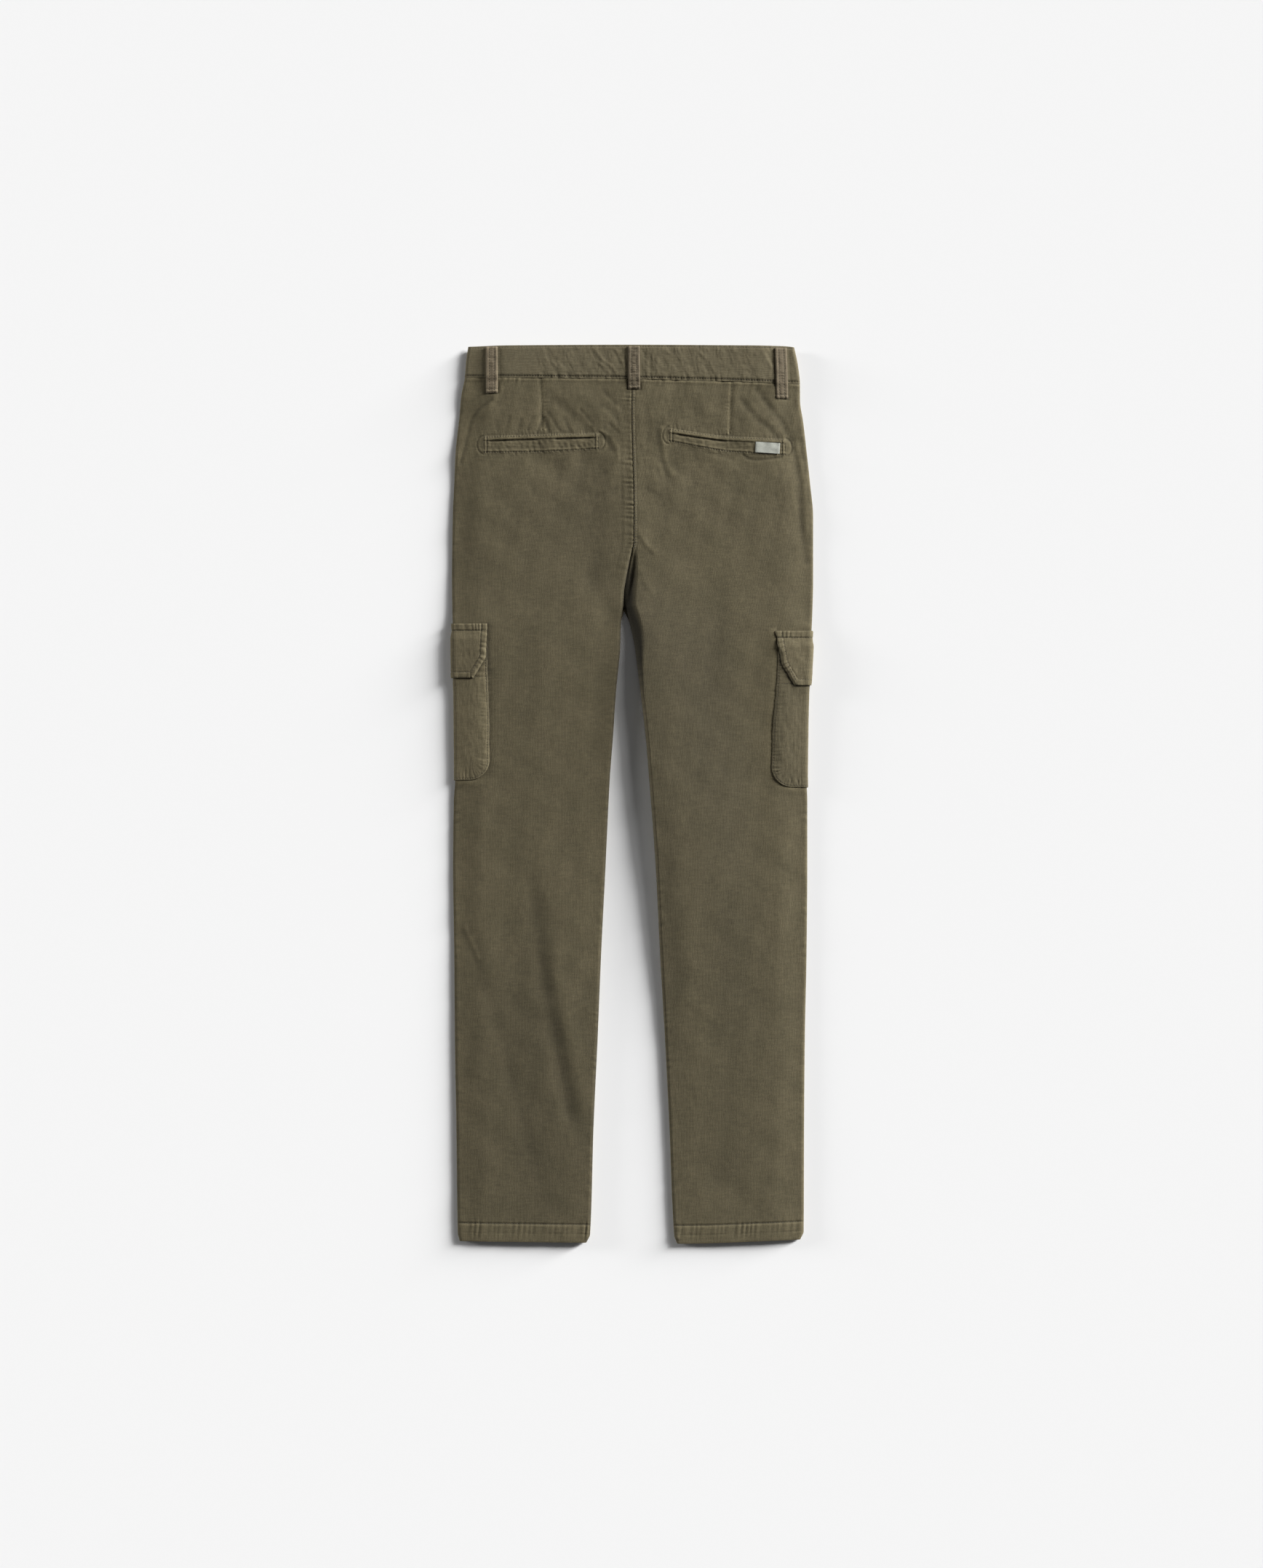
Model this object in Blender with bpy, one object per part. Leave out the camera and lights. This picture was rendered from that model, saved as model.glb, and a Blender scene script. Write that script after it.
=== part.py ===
"""Boys' slim cargo trousers in fine corduroy, laid flat on their front.

The trousers lie back side up on a flat surface at z = 0, waist towards +Y.
The wearer's left leg is at -X and the right leg at +X.  Lengths are in
millimetres here and turned into metres when a mesh is made.

Across the garment x is measured from its middle line.  Down the garment a
"drop" is measured from the top of the waist.  Each panel is one wall of
cloth: its outer face follows the outline, rounds over at the side and
inside-leg folds and carries the soft folds, and its inner face lies one
cloth thickness inside.  What is sewn on a panel is made from the panel's
own surface, moved out.
"""

import math
from collections import namedtuple

import bmesh
import bpy
import numpy as np
from mathutils import Vector
from mathutils.bvhtree import BVHTree

MM = 0.001

# Overall sizes.
LENGTH = 865.0
SEAM_GAP = 0.3
HALF_GAP = SEAM_GAP / 2

# Cloth walls.
CLOTH = 1.2
HEM_CLOTH = 2.0
HEM_DEPTH = 17.5
BAND_CLOTH = 2.4
POUCH_CLOTH = 1.0
FLAP_CLOTH = 1.2

# Heights of the flattened tubes, from the underside to the upper face.
LEG_STACK = 6.0
BAND_STACK = 6.8

# How far in from an edge a fold rounds over, on the flat.
FOLD_REACH = 3.2
CROTCH_REACH = 12.0
ARC_STEPS = 3
FOLD_ARC = math.pi / 2 * math.sqrt((FOLD_REACH**2 + (LEG_STACK / 2) ** 2) / 2)

# The drop of the fork, where the two inside legs part.
FORK = 250.6

# The waist seam lies about here, and the hems end about here.
WAIST_SEAM = 34.0
HEM_END = 863.0
EDGE_FADE = 60.0

# Outline of the side folds: x on each side, by drop.
SideRow = namedtuple("SideRow", "drop left right")
SIDE_FOLDS = (
    SideRow(0.0, -158.0, 156.0),
    SideRow(16.0, -160.0, 159.6),
    SideRow(34.0, -161.3, 161.6),
    SideRow(50.0, -164.5, 161.7),
    SideRow(71.0, -166.6, 164.5),
    SideRow(102.0, -170.1, 168.0),
    SideRow(134.0, -171.5, 171.5),
    SideRow(165.0, -172.9, 174.3),
    SideRow(228.0, -173.6, 174.3),
    SideRow(256.0, -173.2, 173.6),
    SideRow(280.0, -172.4, 172.4),
    SideRow(312.0, -171.9, 171.0),
    SideRow(338.0, -171.1, 169.2),
    SideRow(375.0, -170.8, 168.4),
    SideRow(417.0, -170.5, 168.0),
    SideRow(440.0, -171.9, 168.7),
    SideRow(501.0, -172.6, 168.7),
    SideRow(585.0, -171.5, 168.0),
    SideRow(669.0, -170.8, 166.3),
    SideRow(753.0, -169.4, 165.6),
    SideRow(855.0, -168.0, 165.2),
    SideRow(863.0, -166.3, 161.9),
)

# The seat seam and the centre front seam: x by drop, down to the fork.
SeamRow = namedtuple("SeamRow", "drop x")
SEAT_SEAM = (
    SeamRow(31.0, 0.0),
    SeamRow(60.0, -0.7),
    SeamRow(158.0, 1.4),
    SeamRow(190.0, 1.2),
    SeamRow(199.0, -0.7),
    SeamRow(211.0, -3.2),
    SeamRow(225.0, -5.8),
    SeamRow(237.0, -7.7),
    SeamRow(FORK, -8.4),
)

# Outline of the inside-leg folds below the fork.
INSIDE_LEGS = (
    SideRow(FORK, -8.4, -8.4),
    SideRow(260.0, -9.9, -5.0),
    SideRow(270.0, -10.8, -2.1),
    SideRow(291.0, -11.4, 2.3),
    SideRow(312.0, -13.3, 5.0),
    SideRow(333.0, -15.4, 7.7),
    SideRow(375.0, -18.9, 12.6),
    SideRow(417.0, -22.4, 16.1),
    SideRow(501.0, -26.6, 22.4),
    SideRow(585.0, -30.8, 26.6),
    SideRow(669.0, -34.3, 31.5),
    SideRow(753.0, -38.2, 35.7),
    SideRow(855.0, -41.3, 40.3),
    SideRow(863.0, -44.0, 43.0),
)

# The waistband's upper edge and its seam: drops by x.
WaistRow = namedtuple("WaistRow", "x top seam")
WAIST_LINE = (
    WaistRow(-161.0, 1.6, 31.2),
    WaistRow(-120.0, 0.6, 31.6),
    WaistRow(0.0, 0.0, 32.9),
    WaistRow(80.0, 0.4, 35.0),
    WaistRow(145.0, 1.0, 37.0),
    WaistRow(161.0, 2.6, 37.5),
)
FRONT_WAIST_STEP = 3.0

# Where the hems end: drops by x.
HemRow = namedtuple("HemRow", "x end")
HEM_LINE = (
    HemRow(-168.0, 862.6),
    HemRow(-44.0, 864.0),
    HemRow(43.0, 865.0),
    HemRow(165.0, 861.0),
)

# How round an edge at the centre is, from 0 in the seat to 1 at the fork.
RoundRow = namedtuple("RoundRow", "drop share reach")
CENTRE_ROUNDING = (
    RoundRow(180.0, 0.0, FOLD_REACH),
    RoundRow(195.0, 0.15, 5.0),
    RoundRow(207.0, 0.5, 8.0),
    RoundRow(220.0, 0.85, 11.0),
    RoundRow(237.0, 1.0, CROTCH_REACH),
    RoundRow(262.0, 1.0, CROTCH_REACH),
    RoundRow(291.0, 1.0, 8.0),
    RoundRow(333.0, 1.0, FOLD_REACH),
)

# Soft folds in the back: a trough or a ridge from one end to the other.
SoftFold = namedtuple("SoftFold", "x0 drop0 x1 drop1 half_width height")
SOFT_FOLDS = (
    SoftFold(-79.0, 652.0, -59.5, 736.0, 10.0, -1.2),
    SoftFold(-94.0, 536.0, -83.0, 620.0, 10.0, -0.7),
    SoftFold(-151.0, 571.0, -145.5, 620.0, 9.0, -0.7),
    SoftFold(31.0, 478.0, 43.0, 648.0, 10.0, -1.0),
    SoftFold(112.5, 58.0, 138.0, 87.0, 8.0, -0.9),
    SoftFold(125.0, 47.5, 154.0, 89.0, 8.0, -0.8),
    SoftFold(-57.5, 62.0, -40.0, 82.0, 8.0, -0.7),
    SoftFold(32.0, 108.0, 30.0, 132.0, 9.0, -0.8),
    SoftFold(9.0, 160.0, 10.0, 190.0, 7.0, 0.5),
    SoftFold(-133.0, 51.0, -163.0, 108.0, 7.0, 0.4),
)

# Darts: a stitched valley from the waist seam down to the pocket.
Dart = namedtuple("Dart", "x0 x1 end half_width depth")
DARTS = {
    "left": Dart(-87.0, -85.5, 85.0, 3.0, 0.7),
    "right": Dart(95.0, 93.0, 88.0, 3.0, 0.7),
}

# Gathers of the elasticated waistband: a ridge that leans across the band.
Gather = namedtuple("Gather", "x lean half_width height")
GATHERS = (
    Gather(-128.0, 0.1, 4.5, 0.25),
    Gather(-112.0, -0.2, 5.0, 0.35),
    Gather(-94.0, 0.3, 4.0, 0.35),
    Gather(-82.0, -0.3, 3.6, 0.45),
    Gather(-66.0, 0.1, 4.2, 0.35),
    Gather(-53.0, 0.6, 3.6, 0.55),
    Gather(-41.0, 0.7, 3.4, 0.65),
    Gather(-30.0, 0.5, 3.2, 0.70),
    Gather(-21.0, -0.4, 3.2, 0.65),
    Gather(-11.0, 0.2, 3.4, 0.55),
    Gather(14.0, 0.4, 3.2, 0.60),
    Gather(24.0, 0.7, 3.4, 0.60),
    Gather(35.0, 0.3, 3.2, 0.65),
    Gather(45.0, -0.4, 3.4, 0.55),
    Gather(56.0, 0.5, 3.4, 0.60),
    Gather(67.0, 0.2, 3.2, 0.65),
    Gather(77.0, -0.3, 3.4, 0.55),
    Gather(88.0, 0.4, 3.2, 0.60),
    Gather(98.0, -0.1, 3.4, 0.60),
    Gather(109.0, 0.3, 3.4, 0.55),
    Gather(119.0, -0.2, 3.4, 0.45),
    Gather(130.0, 0.2, 4.0, 0.35),
)

# The front half is lifted off the floor by what is sewn on it.
LiftRow = namedtuple("LiftRow", "drop height")
WAIST_LIFT = (
    LiftRow(50.0, 2.6),
    LiftRow(66.0, 2.1),
    LiftRow(84.0, 1.2),
    LiftRow(100.0, 0.4),
    LiftRow(114.0, 0.0),
)
FLY_LIFT = (
    LiftRow(132.0, 1.6),
    LiftRow(150.0, 0.7),
    LiftRow(168.0, 0.0),
)
FLY_LIFT_REACH = 34.0
FLY_LIFT_FADE = 34.0

# Drops below here are measured from the top of the cargo pocket's flap.
FLAP_TOP = {"left": 268.0, "right": 275.0}
POCKET_LIFT = (
    LiftRow(-20.0, 0.0),
    LiftRow(-12.0, 1.0),
    LiftRow(-3.0, 2.8),
    LiftRow(16.0, 2.8),
    LiftRow(34.0, 2.8),
    LiftRow(54.0, 2.8),
    LiftRow(63.0, 2.0),
    LiftRow(72.0, 1.3),
    LiftRow(92.0, 1.3),
    LiftRow(112.0, 1.3),
    LiftRow(132.0, 1.3),
    LiftRow(153.0, 1.3),
    LiftRow(163.0, 0.7),
    LiftRow(175.0, 0.0),
)
POCKET_LIFT_REACH = 72.0
POCKET_LIFT_FADE = 26.0

# The back swells softly over the pocket's front half.
POCKET_SWELL = (
    LiftRow(-75.0, 0.0),
    LiftRow(-35.0, 0.5),
    LiftRow(0.0, 1.5),
    LiftRow(40.0, 1.8),
    LiftRow(75.0, 1.2),
    LiftRow(130.0, 0.7),
    LiftRow(205.0, 0.0),
)
POCKET_SWELL_REACH = 36.0
POCKET_SWELL_FADE = 80.0

# The cargo pocket wraps round the side fold.  Its edges are distances in
# from that fold: on the back by this table, and on the front one width.
EdgeRow = namedtuple("EdgeRow", "below left right")
POUCH_EDGE = (
    EdgeRow(20.0, 34.5, 33.0),
    EdgeRow(60.0, 34.5, 33.2),
    EdgeRow(92.0, 35.0, 35.0),
    EdgeRow(130.0, 34.8, 35.6),
)
FLAP_EDGE = (
    EdgeRow(0.0, 35.0, 36.5),
    EdgeRow(33.0, 33.0, 29.0),
    EdgeRow(52.5, 20.5, 15.5),
)
POCKET_FRONT_WIDTH = 66.0
FLAP_OVERHANG = 1.5
POUCH_MOUTH = 20.0
POUCH_END = 151.0
POUCH_CORNER = 20.0
POUCH_PUFF = 1.3
FLAP_BAND = 6.6
FLAP_STRAIGHT = 33.0
FLAP_DEPTH = 52.5
FLAP_CHAMFER = 12.0
FLAP_OVER_POUCH = POUCH_CLOTH + 2 * SEAM_GAP
FLAP_TIP_RISE = 0.5

# The welts of the two back pockets: their upper and lower edges by x.
WeltRow = namedtuple("WeltRow", "x top bottom")
WELTS = {
    "left": (
        WeltRow(-142.8, 88.7, 103.6),
        WeltRow(-80.7, 86.8, 102.5),
        WeltRow(-32.9, 85.4, 99.8),
    ),
    "right": (
        WeltRow(35.7, 81.2, 92.6),
        WeltRow(94.2, 88.9, 102.6),
        WeltRow(147.0, 91.0, 105.7),
    ),
}
WELT_CLOTH = 1.4
WELT_EASE = 0.5

# The plain woven label on the right welt.
LABEL_CENTRE = (130.3, 98.9)
LABEL_SIZE = (23.5, 9.4)
LABEL_TURN = math.radians(-3.5)
LABEL_THICKNESS = 1.0

# Belt loops: places of their middles at the top and at the lower end.
LoopPlace = namedtuple("LoopPlace", "name x_top x_end top end")
BACK_LOOPS = (
    LoopPlace("belt_loop_back_left", -135.2, -135.0, 1.8, 46.3),
    LoopPlace("belt_loop_back_centre", 1.6, 1.9, 1.2, 42.5),
    LoopPlace("belt_loop_back_right", 143.0, 144.5, 2.6, 51.5),
)
FRONT_LOOPS = (
    LoopPlace("belt_loop_front_left", -84.0, -84.0, 5.0, 46.0),
    LoopPlace("belt_loop_front_right", 84.0, 84.0, 5.0, 46.0),
)
LOOP_WIDTH = 11.5
LOOP_CLOTH = 2.0
LOOP_STAND_OFF = 1.2
LOOP_EASE = 0.6
FRONT_LOOP_CLOTH = 2.3

# The fly and its button, on the front.
FLY_WIDTH = 30.0
FLY_LAP = 2.0
FLY_STRAIGHT = 95.0
FLY_END = 126.0
FLY_TIP = 7.0
FLY_CLOTH = 1.3
BAND_JOINT = 16.0
BUTTON_RADIUS = 8.5
BUTTON_THICKNESS = 2.3
BUTTON_CENTRE = (3.0, 20.0)
BUTTON_BEVEL = 0.6

# Rows down a panel: from, to and the length of a row.
Stretch = namedtuple("Stretch", "start end row")
BACK_ROWS = (
    Stretch(WAIST_SEAM, 114.0, 10.0),
    Stretch(114.0, 186.0, 18.0),
    Stretch(186.0, 270.0, 9.5),
    Stretch(270.0, 845.0, 28.0),
)
FRONT_ROWS = (
    Stretch(WAIST_SEAM, 186.0, 19.0),
    Stretch(186.0, 270.0, 14.0),
    Stretch(270.0, 845.0, 46.0),
)
ROW_CLEARANCE = 9.0
HEM_ROWS = (845.6, 846.6, 855.0, HEM_END)

# Columns across a panel, as shares of its flat width from the side fold.
BACK_COLUMNS = (0.0, 0.09, 0.18, 0.27, 0.36, 0.55, 0.64, 0.73, 0.82, 0.91, 1.0)
FRONT_COLUMNS = (0.0, 0.15, 0.3, 0.45, 0.6, 0.75, 0.9, 1.0)
DART_SHARE = {"left": 0.482, "right": 0.428}
DART_COLUMN_STEP = 0.018

# The waistband's columns and rows.
BACK_BAND_COLUMNS = 84
FRONT_BAND_COLUMNS = 12
BAND_ROWS = (0.0, 0.04, 0.36, 0.66, 0.95, 1.0)
BAND_EDGE_EASE = (0.7, 0.0, 0.0, 0.0, 0.0, 0.3)

# Colours, as linear values.
CORDUROY = (0.118, 0.101, 0.062)
CORDUROY_DARK = (0.098, 0.083, 0.052)
LABEL_CLOTH = (0.45, 0.46, 0.40)
BUTTON_HORN = (0.07, 0.055, 0.035)

SIDES = ("left", "right")
INWARD = {"left": 1.0, "right": -1.0}


def smooth(rows, key, value, at):
    """Read a table's column on a smooth curve that never overshoots its rows."""
    xs = np.array([getattr(row, key) for row in rows], dtype=float)
    ys = np.array([getattr(row, value) for row in rows], dtype=float)
    at = np.clip(np.asarray(at, dtype=float), xs[0], xs[-1])
    rises = np.diff(ys) / np.diff(xs)
    same_way = rises[1:] * rises[:-1] > 0
    total = np.where(same_way, rises[1:] + rises[:-1], 1.0)
    middle = np.where(same_way, 2 * rises[1:] * rises[:-1] / total, 0.0)
    slopes = np.concatenate([rises[:1], middle, rises[-1:]])
    index = np.clip(np.searchsorted(xs, at) - 1, 0, len(xs) - 2)
    span = xs[index + 1] - xs[index]
    t = (at - xs[index]) / span
    start = (2 * t**3 - 3 * t**2 + 1) * ys[index]
    start_slope = (t**3 - 2 * t**2 + t) * span * slopes[index]
    end = (-2 * t**3 + 3 * t**2) * ys[index + 1]
    end_slope = (t**3 - t**2) * span * slopes[index + 1]
    return start + start_slope + end + end_slope


def straight(rows, key, value, at):
    """Read a table's column on straight lines between its rows."""
    xs = [getattr(row, key) for row in rows]
    ys = [getattr(row, value) for row in rows]
    return np.interp(at, xs, ys)


def fade(distance, length):
    """1 up to distance 0, easing to 0 at the given length."""
    t = np.clip(1 - np.asarray(distance, dtype=float) / length, 0, 1)
    return t * t * (3 - 2 * t)


def side_fold(side, drop):
    """x of the side fold."""
    return smooth(SIDE_FOLDS, "drop", side, drop)


def inner_edge(side, drop):
    """x of a leg's inner edge: the centre seam, then the inside-leg fold."""
    seam = smooth(SEAT_SEAM, "drop", "x", drop)
    leg = smooth(INSIDE_LEGS, "drop", side, drop)
    return np.where(drop < FORK, seam, leg) - INWARD[side] * HALF_GAP


def soft_relief(x, drop):
    """Height that the soft folds add to the back's upper face."""
    height = np.zeros(np.broadcast(x, drop).shape)
    for fold in SOFT_FOLDS:
        along = np.array([fold.x1 - fold.x0, fold.drop1 - fold.drop0])
        length = math.hypot(*along)
        along = along / length
        dx = x - fold.x0
        dy = drop - fold.drop0
        run = dx * along[0] + dy * along[1]
        off = dx * along[1] - dy * along[0]
        past = np.maximum(np.maximum(-run, run - length), 0)
        reach = (off**2 + past**2) / fold.half_width**2
        height = height + fold.height * np.exp(-reach)
    return height


def dart_relief(side, x, drop):
    """The stitched valley of the dart on one side of the back."""
    dart = DARTS[side]
    share = (drop - WAIST_SEAM) / (dart.end - WAIST_SEAM)
    middle = dart.x0 + (dart.x1 - dart.x0) * share
    valley = np.exp(-(((x - middle) / dart.half_width) ** 2))
    return -dart.depth * valley * fade(drop - dart.end + 8, 8)


def gather_relief(x, share):
    """Height that the waistband's gathers add, by share down the band."""
    height = np.zeros(np.broadcast(x, share).shape)
    for gather in GATHERS:
        middle = gather.x + gather.lean * 14 * (0.5 - share)
        ridge = np.exp(-(((x - middle) / gather.half_width) ** 2))
        height = height + gather.height * ridge
    swell = np.sin(np.clip(share, 0, 1) * math.pi) ** 0.5
    return height * (0.35 + 0.65 * swell)


def floor_height(side, x, drop):
    """Height of the front's underside, over what is sewn on the front."""
    from_fold = np.abs(x - side_fold(side, drop))
    below = drop - FLAP_TOP[side]
    pocket = straight(POCKET_LIFT, "drop", "height", below)
    pocket = pocket * fade(from_fold - POCKET_LIFT_REACH, POCKET_LIFT_FADE)
    waist = straight(WAIST_LIFT, "drop", "height", drop)
    fly = straight(FLY_LIFT, "drop", "height", drop)
    fly = fly * fade(np.abs(x) - FLY_LIFT_REACH, FLY_LIFT_FADE)
    return np.maximum(np.maximum(pocket, waist), fly)


def smooth_upper(side, x, drop):
    """Height of the back's upper face before its folds."""
    from_fold = np.abs(x - side_fold(side, drop))
    below = drop - FLAP_TOP[side]
    swell = smooth(POCKET_SWELL, "drop", "height", below)
    swell = swell * fade(from_fold - POCKET_SWELL_REACH, POCKET_SWELL_FADE)
    return LEG_STACK + swell + straight(WAIST_LIFT, "drop", "height", drop)


def upper_height(side, x, drop):
    """Height of the back's upper face."""
    return smooth_upper(side, x, drop) + soft_relief(x, drop) + dart_relief(side, x, drop)


def fold_middle(side, x, drop):
    """Height of the middle of a fold, and half its height."""
    lower = floor_height(side, x, drop)
    upper = smooth_upper(side, x, drop)
    return (lower + upper) / 2, (upper - lower) / 2


def panel_surface(side, facing, drops, columns):
    """Outer face of one panel and its normals.

    facing is 1 for the back, which is on top, and -1 for the front.  Across
    a row the face follows a quarter of an ellipse up from the side fold,
    runs flat, and follows another down to the inner edge.
    """
    arc = np.linspace(0, math.pi / 2, ARC_STEPS + 1)
    flat = np.array(columns[1:-1])
    quarter = math.pi / 2
    turn_out = np.concatenate([arc, np.full(len(flat) + len(arc), quarter)])
    share = np.concatenate([np.zeros(len(arc)), flat, np.ones(len(arc))])
    turn_in = np.concatenate([np.full(len(arc) + len(flat), quarter), arc[::-1]])

    drop = np.array(drops)[:, None]
    fold_x = side_fold(side, drop)
    inner_x = inner_edge(side, drop)
    width = np.abs(inner_x - fold_x)
    rounding = straight(CENTRE_ROUNDING, "drop", "share", drop)
    inner_reach = np.full(drop.shape, FOLD_REACH)
    if facing > 0 and side == "right":
        inner_reach = straight(CENTRE_ROUNDING, "drop", "reach", drop)
    across = FOLD_REACH * (1 - np.cos(turn_out))
    across = across + share * (width - FOLD_REACH - inner_reach)
    across = across + inner_reach * np.cos(turn_in)
    x = fold_x + INWARD[side] * across

    down = np.broadcast_to(drop, x.shape)
    seam_step = smooth(WAIST_LINE, "x", "seam", x) + HALF_GAP - WAIST_SEAM
    down = down + seam_step * fade(drop - WAIST_SEAM, EDGE_FADE)
    hem_step = smooth(HEM_LINE, "x", "end", x) - HEM_END
    down = down + hem_step * fade(HEM_END - drop, EDGE_FADE)

    face = upper_height if facing > 0 else floor_height
    flat_z = face(side, x, down)
    fold_z, fold_half = fold_middle(side, fold_x, drop)
    inner_z, inner_half = fold_middle(side, inner_x, drop)
    fold_z = fold_z + facing * HALF_GAP
    inner_z = inner_z + facing * HALF_GAP
    z = fold_z + (flat_z - fold_z) * np.sin(turn_out)
    z = z - rounding * (flat_z - inner_z) * (1 - np.sin(turn_in))

    tilt_out = np.arctan2(FOLD_REACH * np.sin(turn_out), fold_half * np.cos(turn_out))
    tilt_in = np.arctan2(inner_reach * np.sin(turn_in), inner_half * np.cos(turn_in))
    tilt_in = quarter - rounding * (quarter - tilt_in)
    nx = INWARD[side] * (np.cos(tilt_in) - np.cos(tilt_out))
    nz = facing * np.sin(tilt_out) * np.sin(tilt_in)
    points = np.stack([x, LENGTH / 2 - down, z], axis=-1)
    normals = np.stack([nx, np.zeros(x.shape), nz], axis=-1)
    return points, normals


def panel_rows(side, stretches):
    """Drops of a panel's rows, with a row at each step of the pocket's lift."""
    fixed = [FLAP_TOP[side] + row.drop for row in POCKET_LIFT]
    drops = list(fixed)
    for stretch in stretches:
        count = max(1, round((stretch.end - stretch.start) / stretch.row))
        for drop in np.linspace(stretch.start, stretch.end, count, endpoint=False):
            if min(abs(drop - other) for other in fixed) > ROW_CLEARANCE:
                drops.append(float(drop))
    return sorted(drops) + list(HEM_ROWS)


def panel_columns(side, facing):
    """Shares of a panel's columns; the back has three more at its dart."""
    if facing < 0:
        return FRONT_COLUMNS
    dart = DART_SHARE[side]
    near = (dart - DART_COLUMN_STEP, dart, dart + DART_COLUMN_STEP)
    return tuple(sorted(BACK_COLUMNS + near))


def wrap_point(side, drop, girth, out):
    """A point on the outside round the side fold, moved out.

    girth is the way round from the fold's middle: positive on the back and
    negative on the front.
    """
    drop = np.asarray(drop, dtype=float)
    turn = np.clip(np.abs(girth) / FOLD_ARC, 0, 1) * math.pi / 2
    across = FOLD_REACH * (1 - np.cos(turn))
    across = across + np.maximum(np.abs(girth) - FOLD_ARC, 0)
    fold_x = side_fold(side, drop)
    x = fold_x + INWARD[side] * across
    facing = np.where(girth >= 0, 1.0, -1.0)
    upper = upper_height(side, x, drop)
    lower = floor_height(side, x, drop)
    fold_z, half = fold_middle(side, fold_x, drop)
    z = fold_z + (np.where(girth >= 0, upper, lower) - fold_z) * np.sin(turn)
    tilt = np.arctan2(FOLD_REACH * np.sin(turn), half * np.cos(turn))
    nx = -INWARD[side] * np.cos(tilt)
    nz = facing * np.sin(tilt)
    return np.stack([x + out * nx, LENGTH / 2 - drop, z + out * nz], axis=-1)


def wrap_columns(back_edge, front_edge):
    """Ways round the fold of a wrapped piece's columns, back to front."""
    arc = np.linspace(FOLD_ARC, -FOLD_ARC, 2 * ARC_STEPS + 1)
    back = np.array([1.0, 0.93, 0.62, 0.31])
    front = np.array([0.4, 0.8, 1.0])
    back_way = FOLD_ARC + back * (back_edge - FOLD_REACH)
    front_way = -(FOLD_ARC + front * (front_edge - FOLD_REACH))
    return np.concatenate([back_way, arc, front_way])


def new_object(name, mesh, colour, roughness=0.9):
    """Link a named object with its own plain material."""
    material = bpy.data.materials.new(name + "_finish")
    material.use_nodes = True
    shader = material.node_tree.nodes["Principled BSDF"]
    shader.inputs["Base Color"].default_value = (*colour, 1.0)
    shader.inputs["Roughness"].default_value = roughness
    shader.inputs["Metallic"].default_value = 0.0
    mesh.materials.append(material)
    piece = bpy.data.objects.new(name, mesh)
    bpy.context.scene.collection.objects.link(piece)
    return piece


def wall(name, outer, inner, colour):
    """Close a wall between an outer and an inner grid of points."""
    rows, columns = outer.shape[:2]
    size = rows * columns
    points = np.concatenate([outer.reshape(-1, 3), inner.reshape(-1, 3)])
    faces = []
    for row in range(rows - 1):
        for column in range(columns - 1):
            a = row * columns + column
            quad = (a, a + 1, a + columns + 1, a + columns)
            faces.append(quad)
            faces.append(tuple(size + i for i in reversed(quad)))
    top = list(range(columns))
    right = [row * columns + columns - 1 for row in range(1, rows)]
    bottom = [(rows - 1) * columns + column for column in range(columns - 2, -1, -1)]
    left = [row * columns for row in range(rows - 2, 0, -1)]
    rim = top + right + bottom + left
    for here, after in zip(rim, rim[1:] + rim[:1]):
        faces.append((after, here, size + here, size + after))
    mesh = bpy.data.meshes.new(name)
    mesh.from_pydata((points * MM).tolist(), [], faces)
    shape = bmesh.new()
    shape.from_mesh(mesh)
    bmesh.ops.recalc_face_normals(shape, faces=shape.faces)
    shape.to_mesh(mesh)
    shape.free()
    mesh.shade_smooth()
    mesh.set_sharp_from_angle(angle=math.radians(50))
    return new_object(name, mesh, colour)


def build_panel(side, facing):
    """One panel of one leg, from the waist seam to the hem."""
    rows = panel_rows(side, BACK_ROWS if facing > 0 else FRONT_ROWS)
    points, normals = panel_surface(side, facing, rows, panel_columns(side, facing))
    in_hem = np.array(rows) > LENGTH - HEM_DEPTH - 1.5
    thickness = np.where(in_hem, HEM_CLOTH, CLOTH)[:, None, None]
    name = ("back" if facing > 0 else "front") + "_panel_" + side
    return wall(name, points, points - thickness * normals, CORDUROY)


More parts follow.
